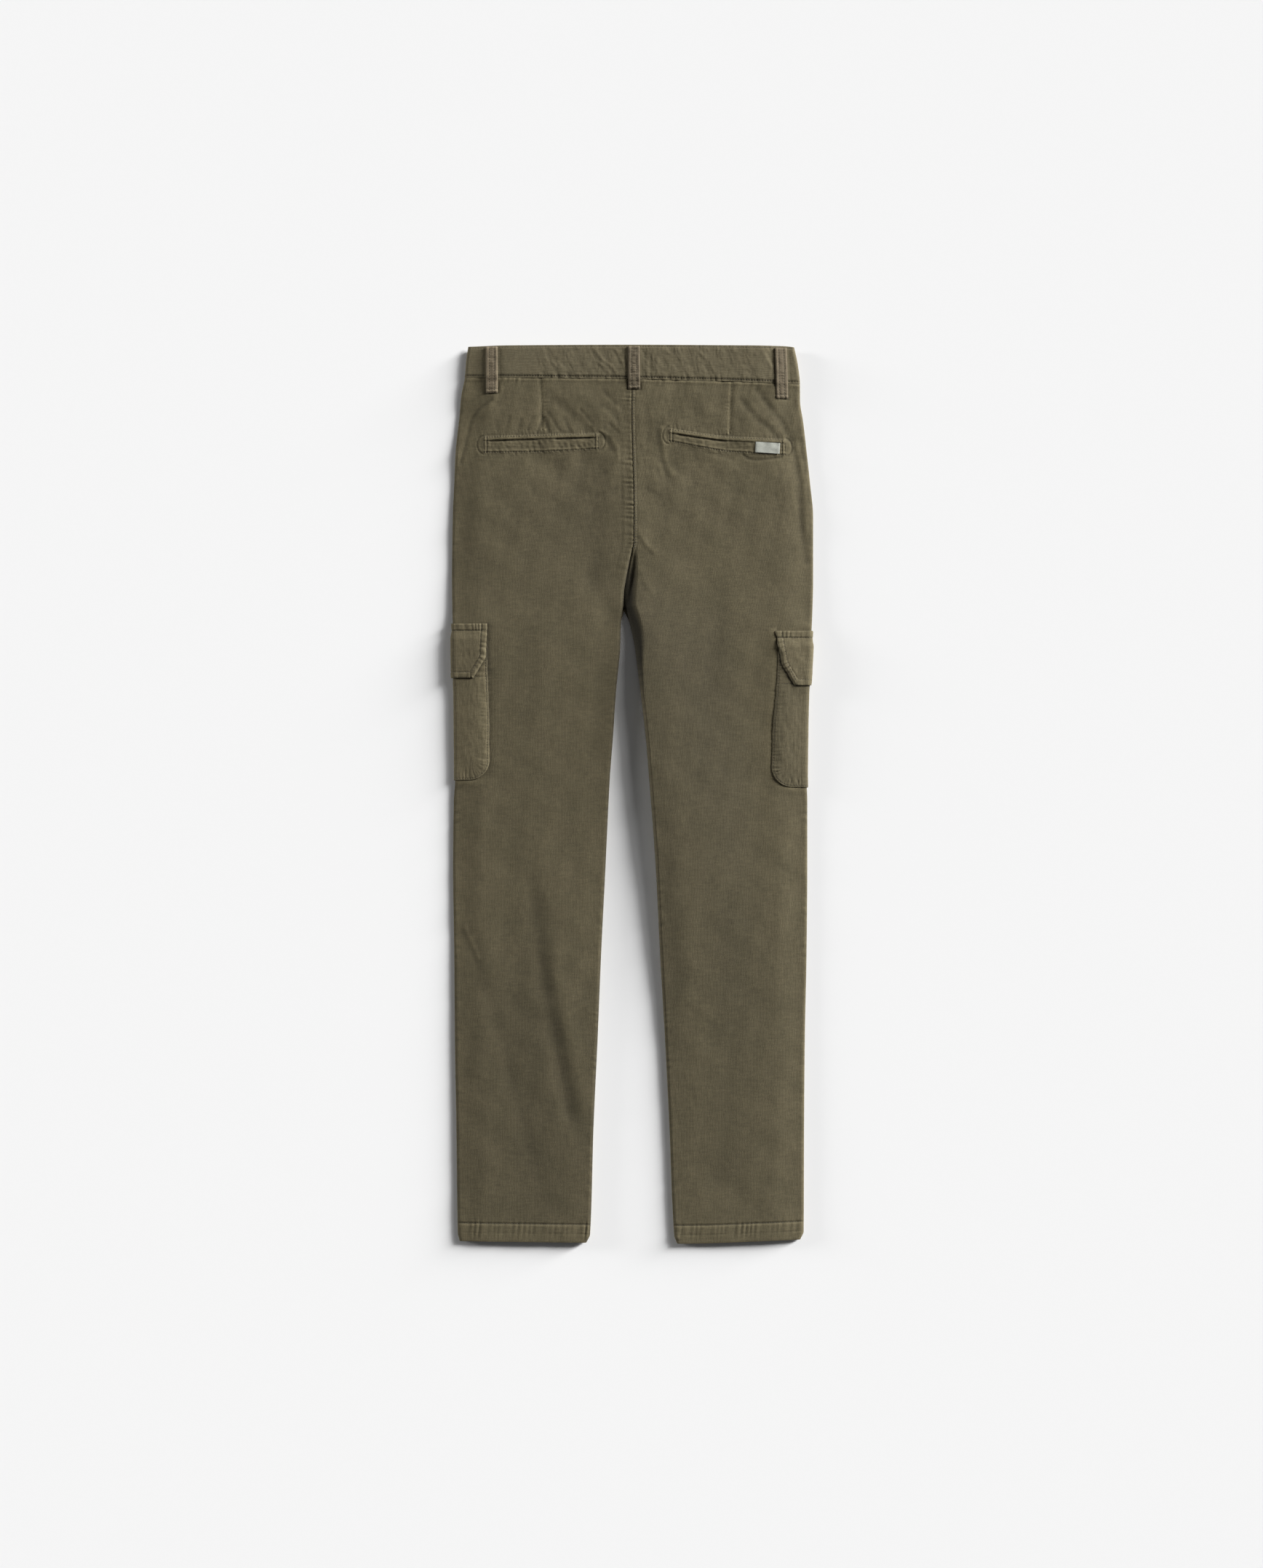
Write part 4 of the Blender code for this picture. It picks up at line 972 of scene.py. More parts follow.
class Nodes:
    """A material's node tree and the one way in which nodes are added to it."""

    def __init__(self, name: str) -> None:
        """Make a material with its output and shader."""
        self.material = bpy.data.materials.new(name)
        self.material.use_nodes = True
        self.tree = self.material.node_tree
        self.shader = self.tree.nodes["Principled BSDF"]

    def node(self, kind: str, inputs: dict, **settings: object) -> bpy.types.Node:
        """Add a node.

        Args:
            kind: the node's type.
            inputs: a value, a socket or a Maths for each named or numbered input.
            settings: properties, which are set before the inputs.

        Returns:
            The node.
        """
        made = self.tree.nodes.new(kind)
        for key, value in settings.items():
            setattr(made, key, value)
        for key, value in inputs.items():
            self.feed(made.inputs[key], value)
        return made

    def feed(self, target: bpy.types.NodeSocket, value: object) -> None:
        """Link a socket, or set its value."""
        if isinstance(value, Maths):
            value = value.socket
        if isinstance(value, bpy.types.NodeSocket):
            self.tree.links.new(value, target)
        else:
            target.default_value = value

    def dress(self, **values: object) -> bpy.types.Material:
        """Feed the shader's inputs, with _ for a space in a name, and give the material."""
        for name, value in values.items():
            self.feed(self.shader.inputs[name.replace("_", " ")], value)
        return self.material

    def number(self, kind: str, values: Sequence, **settings: object) -> Maths:
        """Add a node whose first output is a number."""
        return Maths(self, self.node(kind, dict(enumerate(values)), **settings).outputs[0])

    def cloth(self) -> tuple[bpy.types.NodeSocket, Maths, Maths]:
        """The place on the cloth: as a vector, across the wales and along them."""
        uv = self.node("ShaderNodeUVMap", {}, uv_map="cloth").outputs[0]
        split = self.node("ShaderNodeSeparateXYZ", {0: uv})
        return uv, Maths(self, split.outputs[0]), Maths(self, split.outputs[1])

    def place(self) -> bpy.types.NodeSocket:
        """The place on the object."""
        return self.node("ShaderNodeTexCoord", {}).outputs["Object"]

    def vector(self, *parts: object) -> bpy.types.NodeSocket:
        """A vector from its parts."""
        return self.node("ShaderNodeCombineXYZ", dict(enumerate(parts))).outputs[0]

    def noise(self, where: object, size: float, detail: float = 2.0) -> Maths:
        """Smooth noise from 0 to 1 with features of about this size."""
        inputs = {"Vector": where, "Scale": 1 / size, "Detail": detail, "Roughness": 0.55}
        return Maths(self, self.node("ShaderNodeTexNoise", inputs, noise_dimensions="3D").outputs[0])

    def mix(self, share: object, low: object, high: object) -> bpy.types.NodeSocket:
        """Mix two colours by a share."""
        return self.node("ShaderNodeMix", {0: share, 6: low, 7: high}, data_type="RGBA").outputs[2]

    def lit(self, colour: object, light: object) -> bpy.types.NodeSocket:
        """A colour times a number."""
        return self.node("ShaderNodeVectorMath", {0: colour, 3: light}, operation="SCALE").outputs[0]

    def bump(self, height: object, distance: float, strength: float) -> bpy.types.NodeSocket:
        """A normal from a height."""
        inputs = {"Height": height, "Distance": distance, "Strength": strength}
        return self.node("ShaderNodeBump", inputs).outputs[0]


Colour = tuple[float, float, float]


def opaque(colour: Colour, scale: float = 1.0) -> tuple[float, float, float, float]:
    """A colour with its alpha, lightened or darkened."""
    return (colour[0] * scale, colour[1] * scale, colour[2] * scale, 1.0)


@dataclass(frozen=True)
class Corduroy:
    """Fine corduroy: wales along the cloth, pile, wear and faded patches, painted shade between the wales,
    and the pieces' tone of wear, painted shade and painted light.

    Attributes:
        name: the material's name.
        pile: colour on top of a wale.
        warm: colour to which the piece drifts in patches.
        groove: share of that colour left between the wales, as painted shade.
        wale: distance from wale to wale, in millimetres.
        wale_height: height of a wale, in metres.
    """

    name: str
    pile: Colour = (0.0915, 0.0781, 0.0432)
    warm: Colour = (0.0975, 0.0799, 0.0457)
    groove: float = 0.93
    wale: float = WALE
    wale_height: float = 0.00008

    def material(self) -> bpy.types.Material:
        """Build the material."""
        nodes = Nodes(self.name)
        uv, across, along = nodes.cloth()
        streak = nodes.noise(nodes.vector(across, along * 0.25), 0.9, 2.0)
        slub = nodes.noise(nodes.vector(across * 0.22, along, 7.0), 1.3, 2.0)
        fluff = nodes.noise(uv, 1.0, 2.5)
        patch = nodes.noise(uv, 38.0, 3.0)
        mottle = nodes.noise(uv, 6.0, 3.0)
        waver = nodes.noise(uv, 9.0, 1.0)

        phase = (across / self.wale + waver * 1.6) * TURN
        wale = (phase.cosine() * 0.5 + 0.5) ** 0.6 * (streak * 0.4 + 0.78)
        tone = nodes.node("ShaderNodeAttribute", {}, attribute_name="tone").outputs[2]
        # Painted shade: the colour is darker between the wales.
        light = wale * (1 - self.groove) + self.groove
        light = light * (streak * 0.22 + 0.89) * (fluff * 0.56 + 0.72) * (slub * 0.60 + 0.70)
        light = light * (patch * 0.26 + 0.87) * (mottle * 0.24 + 0.88)
        # The tone attribute brings wear, painted shade and painted light into the colour.
        light = light * (Maths(nodes, tone) * 1.6 + 0.2)
        tint = nodes.mix(patch.clipped(), opaque(self.pile), opaque(self.warm))
        height = wale + fluff * 0.35 + mottle * 0.25
        return nodes.dress(
            Base_Color=nodes.lit(tint, light),
            Roughness=0.9 - wale * 0.06,
            Normal=nodes.bump(height, self.wale_height, 0.8),
            Specular_IOR_Level=0.25,
            Sheen_Weight=0.10,
            Sheen_Roughness=0.45,
            Sheen_Tint=(0.85, 0.80, 0.68, 1.0),
        )


@dataclass(frozen=True)
class Thread:
    """Sewing thread: plain, with a twist too fine to see but as speckle."""

    name: str
    colour: Colour

    def material(self) -> bpy.types.Material:
        """Build the material."""
        nodes = Nodes(self.name)
        speckle = nodes.noise(nodes.place(), 0.0006, 2.0)
        shade = nodes.mix(speckle.clipped(), opaque(self.colour, 0.7), opaque(self.colour, 1.3))
        return nodes.dress(Base_Color=shade, Normal=nodes.bump(speckle, 0.0001, 0.5), Roughness=0.7)


@dataclass(frozen=True)
class WovenTape:
    """The label's tape: a plain weave of fine threads."""

    name: str
    colour: Colour = (0.38, 0.39, 0.34)
    thread: float = 0.45

    def material(self) -> bpy.types.Material:
        """Build the material."""
        nodes = Nodes(self.name)
        uv, across, along = nodes.cloth()
        turn = TURN / self.thread
        weave = (across * turn).cosine() * (along * turn).cosine() * 0.5 + 0.5
        light = weave * 0.10 + 0.86 + nodes.noise(uv, 5.0, 3.0) * 0.12
        return nodes.dress(
            Base_Color=nodes.lit(self.colour, light),
            Normal=nodes.bump(weave, 0.0001, 0.4),
            Roughness=0.75,
            Sheen_Weight=0.1,
        )


@dataclass(frozen=True)
class Horn:
    """Horn-coloured plastic with soft clouds, for the button."""

    name: str
    dark: Colour = (0.045, 0.032, 0.020)
    light: Colour = (0.11, 0.085, 0.055)

    def material(self) -> bpy.types.Material:
        """Build the material."""
        nodes = Nodes(self.name)
        cloud = nodes.noise(nodes.place(), 0.006, 4.0)
        shade = nodes.mix(cloud.clipped(), opaque(self.dark), opaque(self.light))
        return nodes.dress(Base_Color=shade, Roughness=cloud * 0.2 + 0.35)


# --- sewing

Surface = Callable[[Array, Array], Array]


@dataclass(frozen=True)
class Needle:
    """Makes the stitches of a piece: short grains of thread along its lines.

    Attributes:
        pitch: from the start of a stitch to the start of the next.
        length: of the thread that shows.
        thickness: of the thread.
        sunk: how far its middle lies below the cloth.
        around: points round a grain.
        rings: rings along a grain.
    """

    pitch: float = STITCH
    length: float = 1.75
    thickness: float = 0.74
    sunk: float = 0.10
    around: int = 6
    rings: int = 5

    def grains(self, path: Array, up: Array) -> Array:
        """Stitches along a path.

        Each grain is a tube whose radius follows the square root of 1 - s**4
        along it, and which is bent down at its ends.

        Args:
            path: points along the line on the cloth, close together.
            up: the way out of the cloth at those points.

        Returns:
            The points of all the grains, ring by ring.
        """
        steps = np.linalg.norm(np.diff(path, axis=0), axis=1)
        run = np.concatenate([[0.0], np.cumsum(steps)])
        count = int(run[-1] / self.pitch)
        starts = (np.arange(count) + 0.5) * (run[-1] / count)

        def read(values: Array, at: Array) -> Array:
            """Vectors at these ways along the path."""
            return np.stack([np.interp(at, run, values[:, i]) for i in range(3)], axis=-1)

        def unit(ways: Array) -> Array:
            """Vectors of length 1."""
            return ways / np.linalg.norm(ways, axis=1)[:, None]

        half = self.length / 2
        ahead = unit(read(path, starts + half) - read(path, starts - half))
        out = read(up, starts)
        out = unit(out - np.sum(out * ahead, axis=1)[:, None] * ahead)
        beside = np.cross(ahead, out)
        middle = read(path, starts) - self.sunk * out

        along = np.linspace(-1, 1, self.rings)[:, None]
        radius = self.thickness / 2 * np.sqrt(np.maximum(1 - along**4, 0.05))
        sink = -0.25 * self.thickness * along**4
        turn = np.arange(self.around) / self.around * TURN
        parts = (
            (along * half + 0 * turn, ahead),
            (radius * np.cos(turn), beside),
            (radius * np.sin(turn) * 0.8 + sink, out),
        )
        points = middle[:, None, None, :]
        for size, way in parts:
            points = points + size[None, :, :, None] * way[:, None, None, :]
        return points.reshape(-1, 3)

    def faces(self, count: int) -> list:
        """The tubes' faces and their end caps, for this many grains."""
        ring = np.arange(self.around)
        after = np.roll(ring, -1)
        low = np.arange(self.rings - 1)[:, None] * self.around
        high = low + self.around
        one = np.stack([low + ring, low + after, high + after, high + ring], axis=-1).reshape(-1, 4)
        first = np.arange(count)[:, None] * self.rings * self.around
        tubes = (one[None] + first[:, :, None]).reshape(-1, 4)
        starts = (first + ring)[:, ::-1]
        ends = first + (self.rings - 1) * self.around + ring
        return tubes.tolist() + starts.tolist() + ends.tolist()


def seam_path(places: Sequence[tuple[float, float]], surface: Surface, step: float = 0.8) -> Path:
    """Points and outward ways along a line of sewing.

    The outward way is the cross product of two small steps on the surface.

    Args:
        places: pairs that the surface takes, at the line's corners.
        surface: the piece's surface.
        step: how closely the line is followed.

    Returns:
        The points, and the ways out.
    """
    corners = np.array(places, dtype=float)
    lengths = np.linalg.norm(np.diff(corners, axis=0), axis=1)
    run = np.concatenate([[0.0], np.cumsum(lengths)])
    at = np.linspace(0, run[-1], max(3, int(run[-1] / step)))
    u = np.interp(at, run, corners[:, 0])
    v = np.interp(at, run, corners[:, 1])
    small = 0.4
    step_u = surface(u + small, v) - surface(u - small, v)
    step_v = surface(u, v + small) - surface(u, v - small)
    up = np.cross(step_v, step_u)
    return surface(u, v), up / np.linalg.norm(up, axis=1)[:, None]


def upward(path: Array) -> Array:
    """The way up, at each point."""
    return np.broadcast_to(np.array([0.0, 0.0, 1.0]), path.shape)


def sew(name: str, lines: Sequence[Path], finish: Finish, outward: Callable = upward) -> None:
    """Make all the stitches of one thread on a piece as one mesh.

    Args:
        name: the piece's name.
        lines: a path and its outward ways for each line.
        finish: the thread.
        outward: tells which way is out, roughly, at a path's points.
    """
    needle = Needle()
    grains = []
    for path, up in lines:
        up = up * np.sign(np.sum(up * outward(path), axis=1))[:, None]
        grains.append(needle.grains(path, up))
    points = np.concatenate(grains)
    points[:, 2] = np.maximum(points[:, 2], 0.0)
    count = len(points) // (needle.around * needle.rings)
    make_piece(name, points, needle.faces(count), finish)


# --- panels

CRUMPLE = Ripple(11, 30.0, 46.0, 16)
CRINKLE = Ripple(12, 8.5, 17.0, 22)
GRAIN = Ripple(13, 4.4, 6.5, 22)
SEAT_PUCKERS = {
    Side.LEFT: Puckers(5.4, 10.0, 0.36, 21, 0.08, 0.5),
    Side.RIGHT: Puckers(4.6, 3.5, 0.14, 24, -0.1),
}
WAIST_PUCKERS = Puckers(7.4, 7.0, 0.26, 31, 0.25)
DART_PUCKERS = Puckers(3.9, 4.5, 0.16, 41)
HEM_ROPE = Puckers(6.0, 30.0, 0.26, 61, 0.12, 0.5)
HEM_PUCKERS = Puckers(6.0, 4.0, 0.14, 61, 0.1, 0.3)
INSIDE_PUCKERS = Puckers(9.0, 5.0, 0.22, 71, 0.2)
SIDE_PUCKERS = Puckers(13.0, 5.0, 0.20, 74, 0.2)
POUCH_PUCKERS = Puckers(5.0, 4.0, 0.16, 77)


def hem_relief(x: Array, drop: Array) -> Array:
    """The turned-up hem: a stitched groove, a thicker band and its roping."""
    up = HEM_LINE(x) - drop
    band = fade(up - HEM_DEPTH + 1.0, 1.6)
    rope = HEM_ROPE(x, HEM_DEPTH - up) * band * fade(8.0 - up, 8.0)
    above = HEM_PUCKERS(x, np.abs(up - HEM_DEPTH)) * (1 - band)
    faint = 0.20 * bell(up - 8.5, 0.9) * (0.6 + 0.4 * Ripple(62, 30.0, 1.0).along_line(x))
    edges = 0.60 * bell(up - HEM_DEPTH, 0.9) + 0.25 * bell(up, 0.9)
    return 0.30 * band + rope + above - faint - edges


@dataclass
class Panel:
    """One back or front panel of one leg, from the waist seam to the hem.

    Attributes:
        leg: the leg.
        facing: back or front.
        rows: cells down the panel.
        flat_columns: cells across its flat part.
        arc_columns: cells round the side fold.
        inner_columns: cells round the inner edge.
    """

    leg: Leg
    facing: Facing = Facing.BACK
    rows: int = 600
    flat_columns: int = 126
    arc_columns: int = 8
    inner_columns: int = 14
    coarse: ClassVar[int] = 4

    def centre_relief(self, drop: Array, seam: Array) -> Array:
        """The seat seam's ladder of puckers, its ridge and its groove."""
        in_seat = fade(drop - 205, 25)
        ladder = SEAT_PUCKERS[self.leg.side](drop, seam) * fade(seam - 5, 14)
        height = ladder * in_seat * (0.6 + 0.7 * bell(drop - 160, 50))
        if self.leg.is_left:
            allowance = 0.10 * bell(seam - 8.6, 1.8) - 0.10 * bell(seam - 11.2, 1.6)
            height += in_seat * (0.12 * bell(seam - 1.8, 1.4) + allowance * fade(110 - drop, 14))
            height += 0.2 * bell(seam - 4.0, 4.0) * bell(drop - 208, 12)
        else:
            ridge = 0.32 * beads(drop, 0.3) * bell(seam - 1.6, 0.9) - 0.10 * bell(seam - 3.2, 0.8)
            height += ridge * in_seat + 0.6 * bell(seam - 2.2, 1.3) * bell(drop - 222, 16)
        return height - in_seat * 0.20 * bell(seam, 0.6)

    def dart_relief(self, x: Array, drop: Array) -> Array:
        """The dart's stitched valley and the ridge beside it."""
        from_dart = self.leg.from_dart(x, drop) * self.leg.inward
        bead = beads(drop, 0.5, 3.4)
        height = DART_PUCKERS(drop, np.abs(from_dart - 3.0)) * fade(58 - drop, 14)
        height += (0.28 + 0.20 * bead) * bell(from_dart - 1.3, 1.0)
        height -= 0.34 * bead * bell(from_dart + 0.6, 0.8)
        return height * fade(drop - DARTS[self.leg.side][2] + 3, 4)

    def pocket_relief(self, from_fold: Array, off: Array, below: Array, drop: Array) -> Array:
        """Puckers and pressed-up cloth beside and below the cargo pocket."""
        beside = POUCH_PUCKERS(drop, np.abs(off)) - 0.15 * bell(off - 0.5, 1.2)
        height = beside * fade(-below, 4.0) * fade(below - 144.0, 6.0)
        pressed = fade(below - POUCH_END, 8.0) * fade(POUCH_END - 0.6 - below, 0.8)
        height += 0.4 * pressed * fade(from_fold - 18.0, 12.0)
        if not self.leg.is_left:
            in_drop = fade(-below, 4.0) * fade(below - 136.0, 10.0)
            height += 0.55 * fade(off, 11.0) * fade(0.2 - off, 0.8) * in_drop
        return height

    def back_relief(self, x: Array, drop: Array) -> Array:
        """Fine height of the back's upper face; plain under the cargo pocket."""
        leg = self.leg
        seam = leg.from_inner(x, drop)
        from_fold = leg.from_fold(x, drop)
        from_waist = drop - WAIST_LINE(x)
        below = drop - leg.flap_top
        off = from_fold - leg.pocket_reach(drop)
        upper = fade(drop - 100, 120)
        height = (0.15 + 0.20 * upper) * CRUMPLE(x, drop) + (0.028 + 0.030 * upper) * CRINKLE(x, drop)
        height += (0.016 + 0.014 * upper) * GRAIN(x, drop) + creases(SMALL_FOLDS, x, drop)
        height += self.centre_relief(drop, seam) + self.dart_relief(x, drop) + hem_relief(x, drop)
        height += 0.26 * bell(from_waist - 1.9, 1.1) - 0.25 * bell(from_waist, 0.6)
        height += WAIST_PUCKERS(x, from_waist) - 0.3 * beside_loops(x, drop)
        height += fade(FORK + 30 - drop, 30) * INSIDE_PUCKERS(drop, seam) + SIDE_PUCKERS(drop, from_fold)
        height += self.pocket_relief(from_fold, off, below, drop)
        covered = fade(off + 1.0, 1.4) * fade(-1 - below, 2.0) * fade(below - 150.0, 1.4)
        return height * (1 - covered)

    def front_relief(self, x: Array, drop: Array) -> Array:
        """Fine height of the front: folds pushed up, seams, hem."""
        leg = self.leg
        up = HEM_LINE(x) - drop
        height = creases(FRONT_FOLDS, x, drop) + 0.10 * (1 + CRUMPLE(x + 400, drop))
        height += 0.5 * bell(leg.from_inner(x, drop), 0.8) * fade(drop - FORK, 10)
        height += 0.35 * bell(up - HEM_DEPTH, 0.9) + 0.4 * bell(up, 1.1)
        height += np.abs(HEM_ROPE(x + 90, up)) * fade(up - HEM_DEPTH + 1, 1.6)
        height += 0.5 * bell(drop - WAIST_LINE(x), 0.8)
        below = drop - leg.flap_top
        pocket = fade(leg.from_fold(x, drop) - 68.0, 3.0) * fade(-3 - below, 3.0) * fade(below - 152.0, 4.0)
        fly = fade(np.abs(x) - 32.0, 3.0) * fade(drop - 128.0, 4.0)
        return height * (1 - np.maximum(pocket, fly))

    def under_welt(self, x: Array, drop: Array) -> Array:
        """How far the back sinks under a welt's cloth."""
        leg = self.leg
        beyond = np.maximum(np.maximum(leg.welt_start - x, x - leg.welt_end), 0)
        outside = np.maximum(leg.welt_top(x) - 4.4 - drop, drop - leg.welt_bottom(x) - 2.0)
        return 0.7 * fade(np.maximum(outside, beyond - 7.0), 1.2)

    def plain_height(self, x: Array, drop: Array) -> Array:
        """Height of the flat of the face without its fine relief."""
        leg = self.leg
        if self.facing is Facing.FRONT:
            return leg.floor(x, drop)
        recess = HOLLOW_DEPTH(drop) * leg.hollow(x, drop)
        return leg.carved(x, drop) + leg.swell(x, drop) - recess

    def height(self, x: Array, drop: Array) -> Array:
        """Height of the flat of the face."""
        if self.facing is Facing.FRONT:
            return self.plain_height(x, drop) + self.front_relief(x, drop)
        return self.plain_height(x, drop) + self.back_relief(x, drop) - self.under_welt(x, drop)

    def point(self, x: Array, drop: Array) -> Array:
        """Points on the flat of the face."""
        return spot(x, drop, self.height(x, drop))

    def grids(self) -> tuple[Array, Array, Array, Array, Array]:
        """Outer points, plain points, plain normals, x and drop.

        Across a row the face follows a quarter of an ellipse up from the side
        fold, runs flat, and follows another down to the inner edge.
        """
        leg = self.leg
        up = self.facing.up
        arc = np.linspace(0, QUARTER, self.arc_columns + 1)
        inner_arc = np.linspace(QUARTER, 0, self.inner_columns + 1)
        flat = crowded((0.0, 0.93, 1.0), (1.0, 0.45), self.flat_columns)[1:-1]
        turn_out = np.concatenate([arc, np.full(len(flat) + len(inner_arc), QUARTER)])
        share = np.concatenate([np.zeros(len(arc)), flat, np.ones(len(inner_arc))])
        turn_in = np.concatenate([np.full(len(arc) + len(flat), QUARTER), inner_arc])

        drop = crowded((WAIST_SEAM, 120.0, 240.0, 836.0, HEM_END), (1.0, 1.3, 1.75, 0.8), self.rows)
        drop = drop[:, None]
        fold_x = leg.fold(drop)
        inner_x = leg.inner(drop)
        rounding = CENTRE_ROUNDING(drop)
        reach = np.full(drop.shape, FOLD_REACH)
        if self.facing is Facing.FRONT:
            inner_x = inner_x + leg.inward * CROTCH_LAP(drop)
        elif not leg.is_left:
            reach = CENTRE_REACH(drop)
        across = FOLD_REACH * (1 - np.cos(turn_out)) + reach * np.cos(turn_in)
        across = across + share * (np.abs(inner_x - fold_x) - FOLD_REACH - reach)
        x = fold_x + leg.inward * across
        down = drop + (WAIST_LINE(x) + HALF_GAP - WAIST_SEAM) * fade(drop - WAIST_SEAM, EDGE_FADE)
        down = down + (HEM_LINE(x) - HEM_END) * fade(HEM_END - drop, EDGE_FADE)

        fold_z, fold_half = leg.fold_middle(fold_x, drop)
        inner_z, inner_half = leg.fold_middle(inner_x, drop)
        fold_z = fold_z + up * HALF_GAP
        inner_z = inner_z + up * HALF_GAP

        def lay(flat_z: Array) -> Array:
            """Points of a face whose flat part has these heights."""
            z = fold_z + (flat_z - fold_z) * np.sin(turn_out)
            return spot(x, down, z - rounding * (flat_z - inner_z) * (1 - np.sin(turn_in)))

        tilt_out = np.arctan2(FOLD_REACH * np.sin(turn_out), fold_half * np.cos(turn_out))
        tilt_in = np.arctan2(reach * np.sin(turn_in), inner_half * np.cos(turn_in))
        tilt_in = QUARTER - rounding * (QUARTER - tilt_in)
        nx = leg.inward * (np.cos(tilt_in) - np.cos(tilt_out))
        nz = up * np.sin(tilt_out) * np.sin(tilt_in)
        normals = np.stack([nx, np.zeros(x.shape), nz], axis=-1)
        return lay(self.height(x, down)), lay(self.plain_height(x, down)), normals, x, down

    def cloth_place(self, x: Array, drop: Array) -> Array:
        """Place on the cloth: wales lean outwards in the seat.

        Across the wales it is x plus the lean summed from the waist down.
        """
        steps = np.linspace(30.0, 870.0, 400)
        slope = np.tan(np.radians(WALE_LEAN[self.leg.side](steps)))
        total = np.concatenate([[0.0], np.cumsum((slope[1:] + slope[:-1]) / 2 * np.diff(steps))])
        return np.stack([x + np.interp(drop, steps, total), drop], axis=-1)

    def shade(self, x: Array, drop: Array) -> Array:
        """Painted shade and light on the pile: darker in troughs, in the hollow and beside the pocket and
        loops.
        """
        leg = self.leg
        seam = leg.from_inner(x, drop)
        from_fold = leg.from_fold(x, drop)
        below = drop - leg.flap_top
        off = from_fold - leg.pocket_reach(drop)
        in_pocket = fade(-below, 1.0) * fade(below - 150, 4)
        # Painted shade in the folds' troughs and painted light on their ridges.
        tone = 0.08 * creases(MAIN_FOLDS + SMALL_FOLDS, x, drop)
        # Painted shade in the hollow, in a line beside the cargo pocket's edge and round the belt loops'
        # lower ends.
        tone -= HOLLOW_SHADE(drop) * leg.hollow(x, drop) + 0.12 * bell(off - 0.2, 1.2) * in_pocket
        tone -= 0.12 * beside_loops(x, drop)
        if leg.is_left:
            # Left leg: painted light and shade down the leg; painted light by the hip and along the side
            # fold, against the shade where they turn from the light; painted shade on the inner edge below
            # the seat, which faces the light; painted shade beside the flap.
            tone += LEG_SHADE(drop) + 0.06 * fade(from_fold - 6, 34) * fade(drop - 70, 50)
            tone += 0.05 * fade(from_fold, 34) - 0.26 * fade(seam - 0.8, 2.0) * fade(214 - drop, 20)
            return tone - 0.17 * fade(off - 1.0, 6.0) * fade(-below, 2.0) * fade(below - 46, 8)
        # Right leg: painted shade where the slope of the lifted inner edge faces the light; painted light
        # beside the pocket against the shade of the swell; a little lighter by the side fold from the knee
        # down and darker round the knee; painted light and shade down the leg and painted shade along its
        # turned inner side.
        run = np.clip((seam - 5) / INNER_LIFT_REACH, 0, 1)
        slope = 6 * run * (1 - run) * np.maximum(INNER_LIFT(drop), 0) / INNER_LIFT_REACH
        ramp = (INNER_LIFT(drop + 4) - INNER_LIFT(drop - 4)) / 8
        slope += 0.55 * ramp * fade(seam - 5, INNER_LIFT_REACH)
        tone += 0.13 * bell(off - 5.0, 4.5) * in_pocket - 1.35 * slope
        tone += 0.03 * fade(560 - drop, 120) * fade(from_fold, 60) - 0.05 * bell(drop - 560, 90)
        return tone + 0.8 * LEG_SHADE(drop) + TURNED_SHADE(drop) * fade(seam - 3, 30)

    def build(self, finish: Finish) -> None:
        """Build the panel."""
        outer, plain, normals, x, down = self.grids()
        relief = (outer - plain)[..., 2] * self.facing.up
        if self.facing is Facing.BACK:
            tone = wear_and_groove_shade(relief + self.under_welt(x, down), 3) + self.shade(x, down)
            rests = f"front_panel_{self.leg.side.value}"
        else:
            tone = wear_and_groove_shade(relief, 3)
            rests = "floor"
        in_hem = down > HEM_LINE(x) - HEM_DEPTH - 1.5
        inner = plain - np.where(in_hem, HEM_CLOTH, CLOTH)[..., None] * normals
        wall = Wall(outer, inner, self.cloth_place(x, down), tone, self.coarse)
        wall.lay(f"{self.facing.value}_panel_{self.leg.side.value}", plain, rests, finish)

    def sewing(self) -> list[Path]:
        """Seat seam and hem sewing of a back panel."""
        leg = self.leg
        lines = []
        if not leg.is_left:
            drops = np.linspace(44.0, 196.0, 60)
            for inset in (0.9, 2.4):
                lines.append(np.stack([leg.inner(drops) + inset, drops], axis=-1))
        start = leg.fold(850.0) + leg.inward * 3.5
        x = np.linspace(start, leg.inner(850.0) - leg.inward * 3.5, 60)
        lines.append(np.stack([x, HEM_LINE(x) - HEM_DEPTH], axis=-1))
        return [seam_path(places, self.point) for places in lines]


# --- waistband


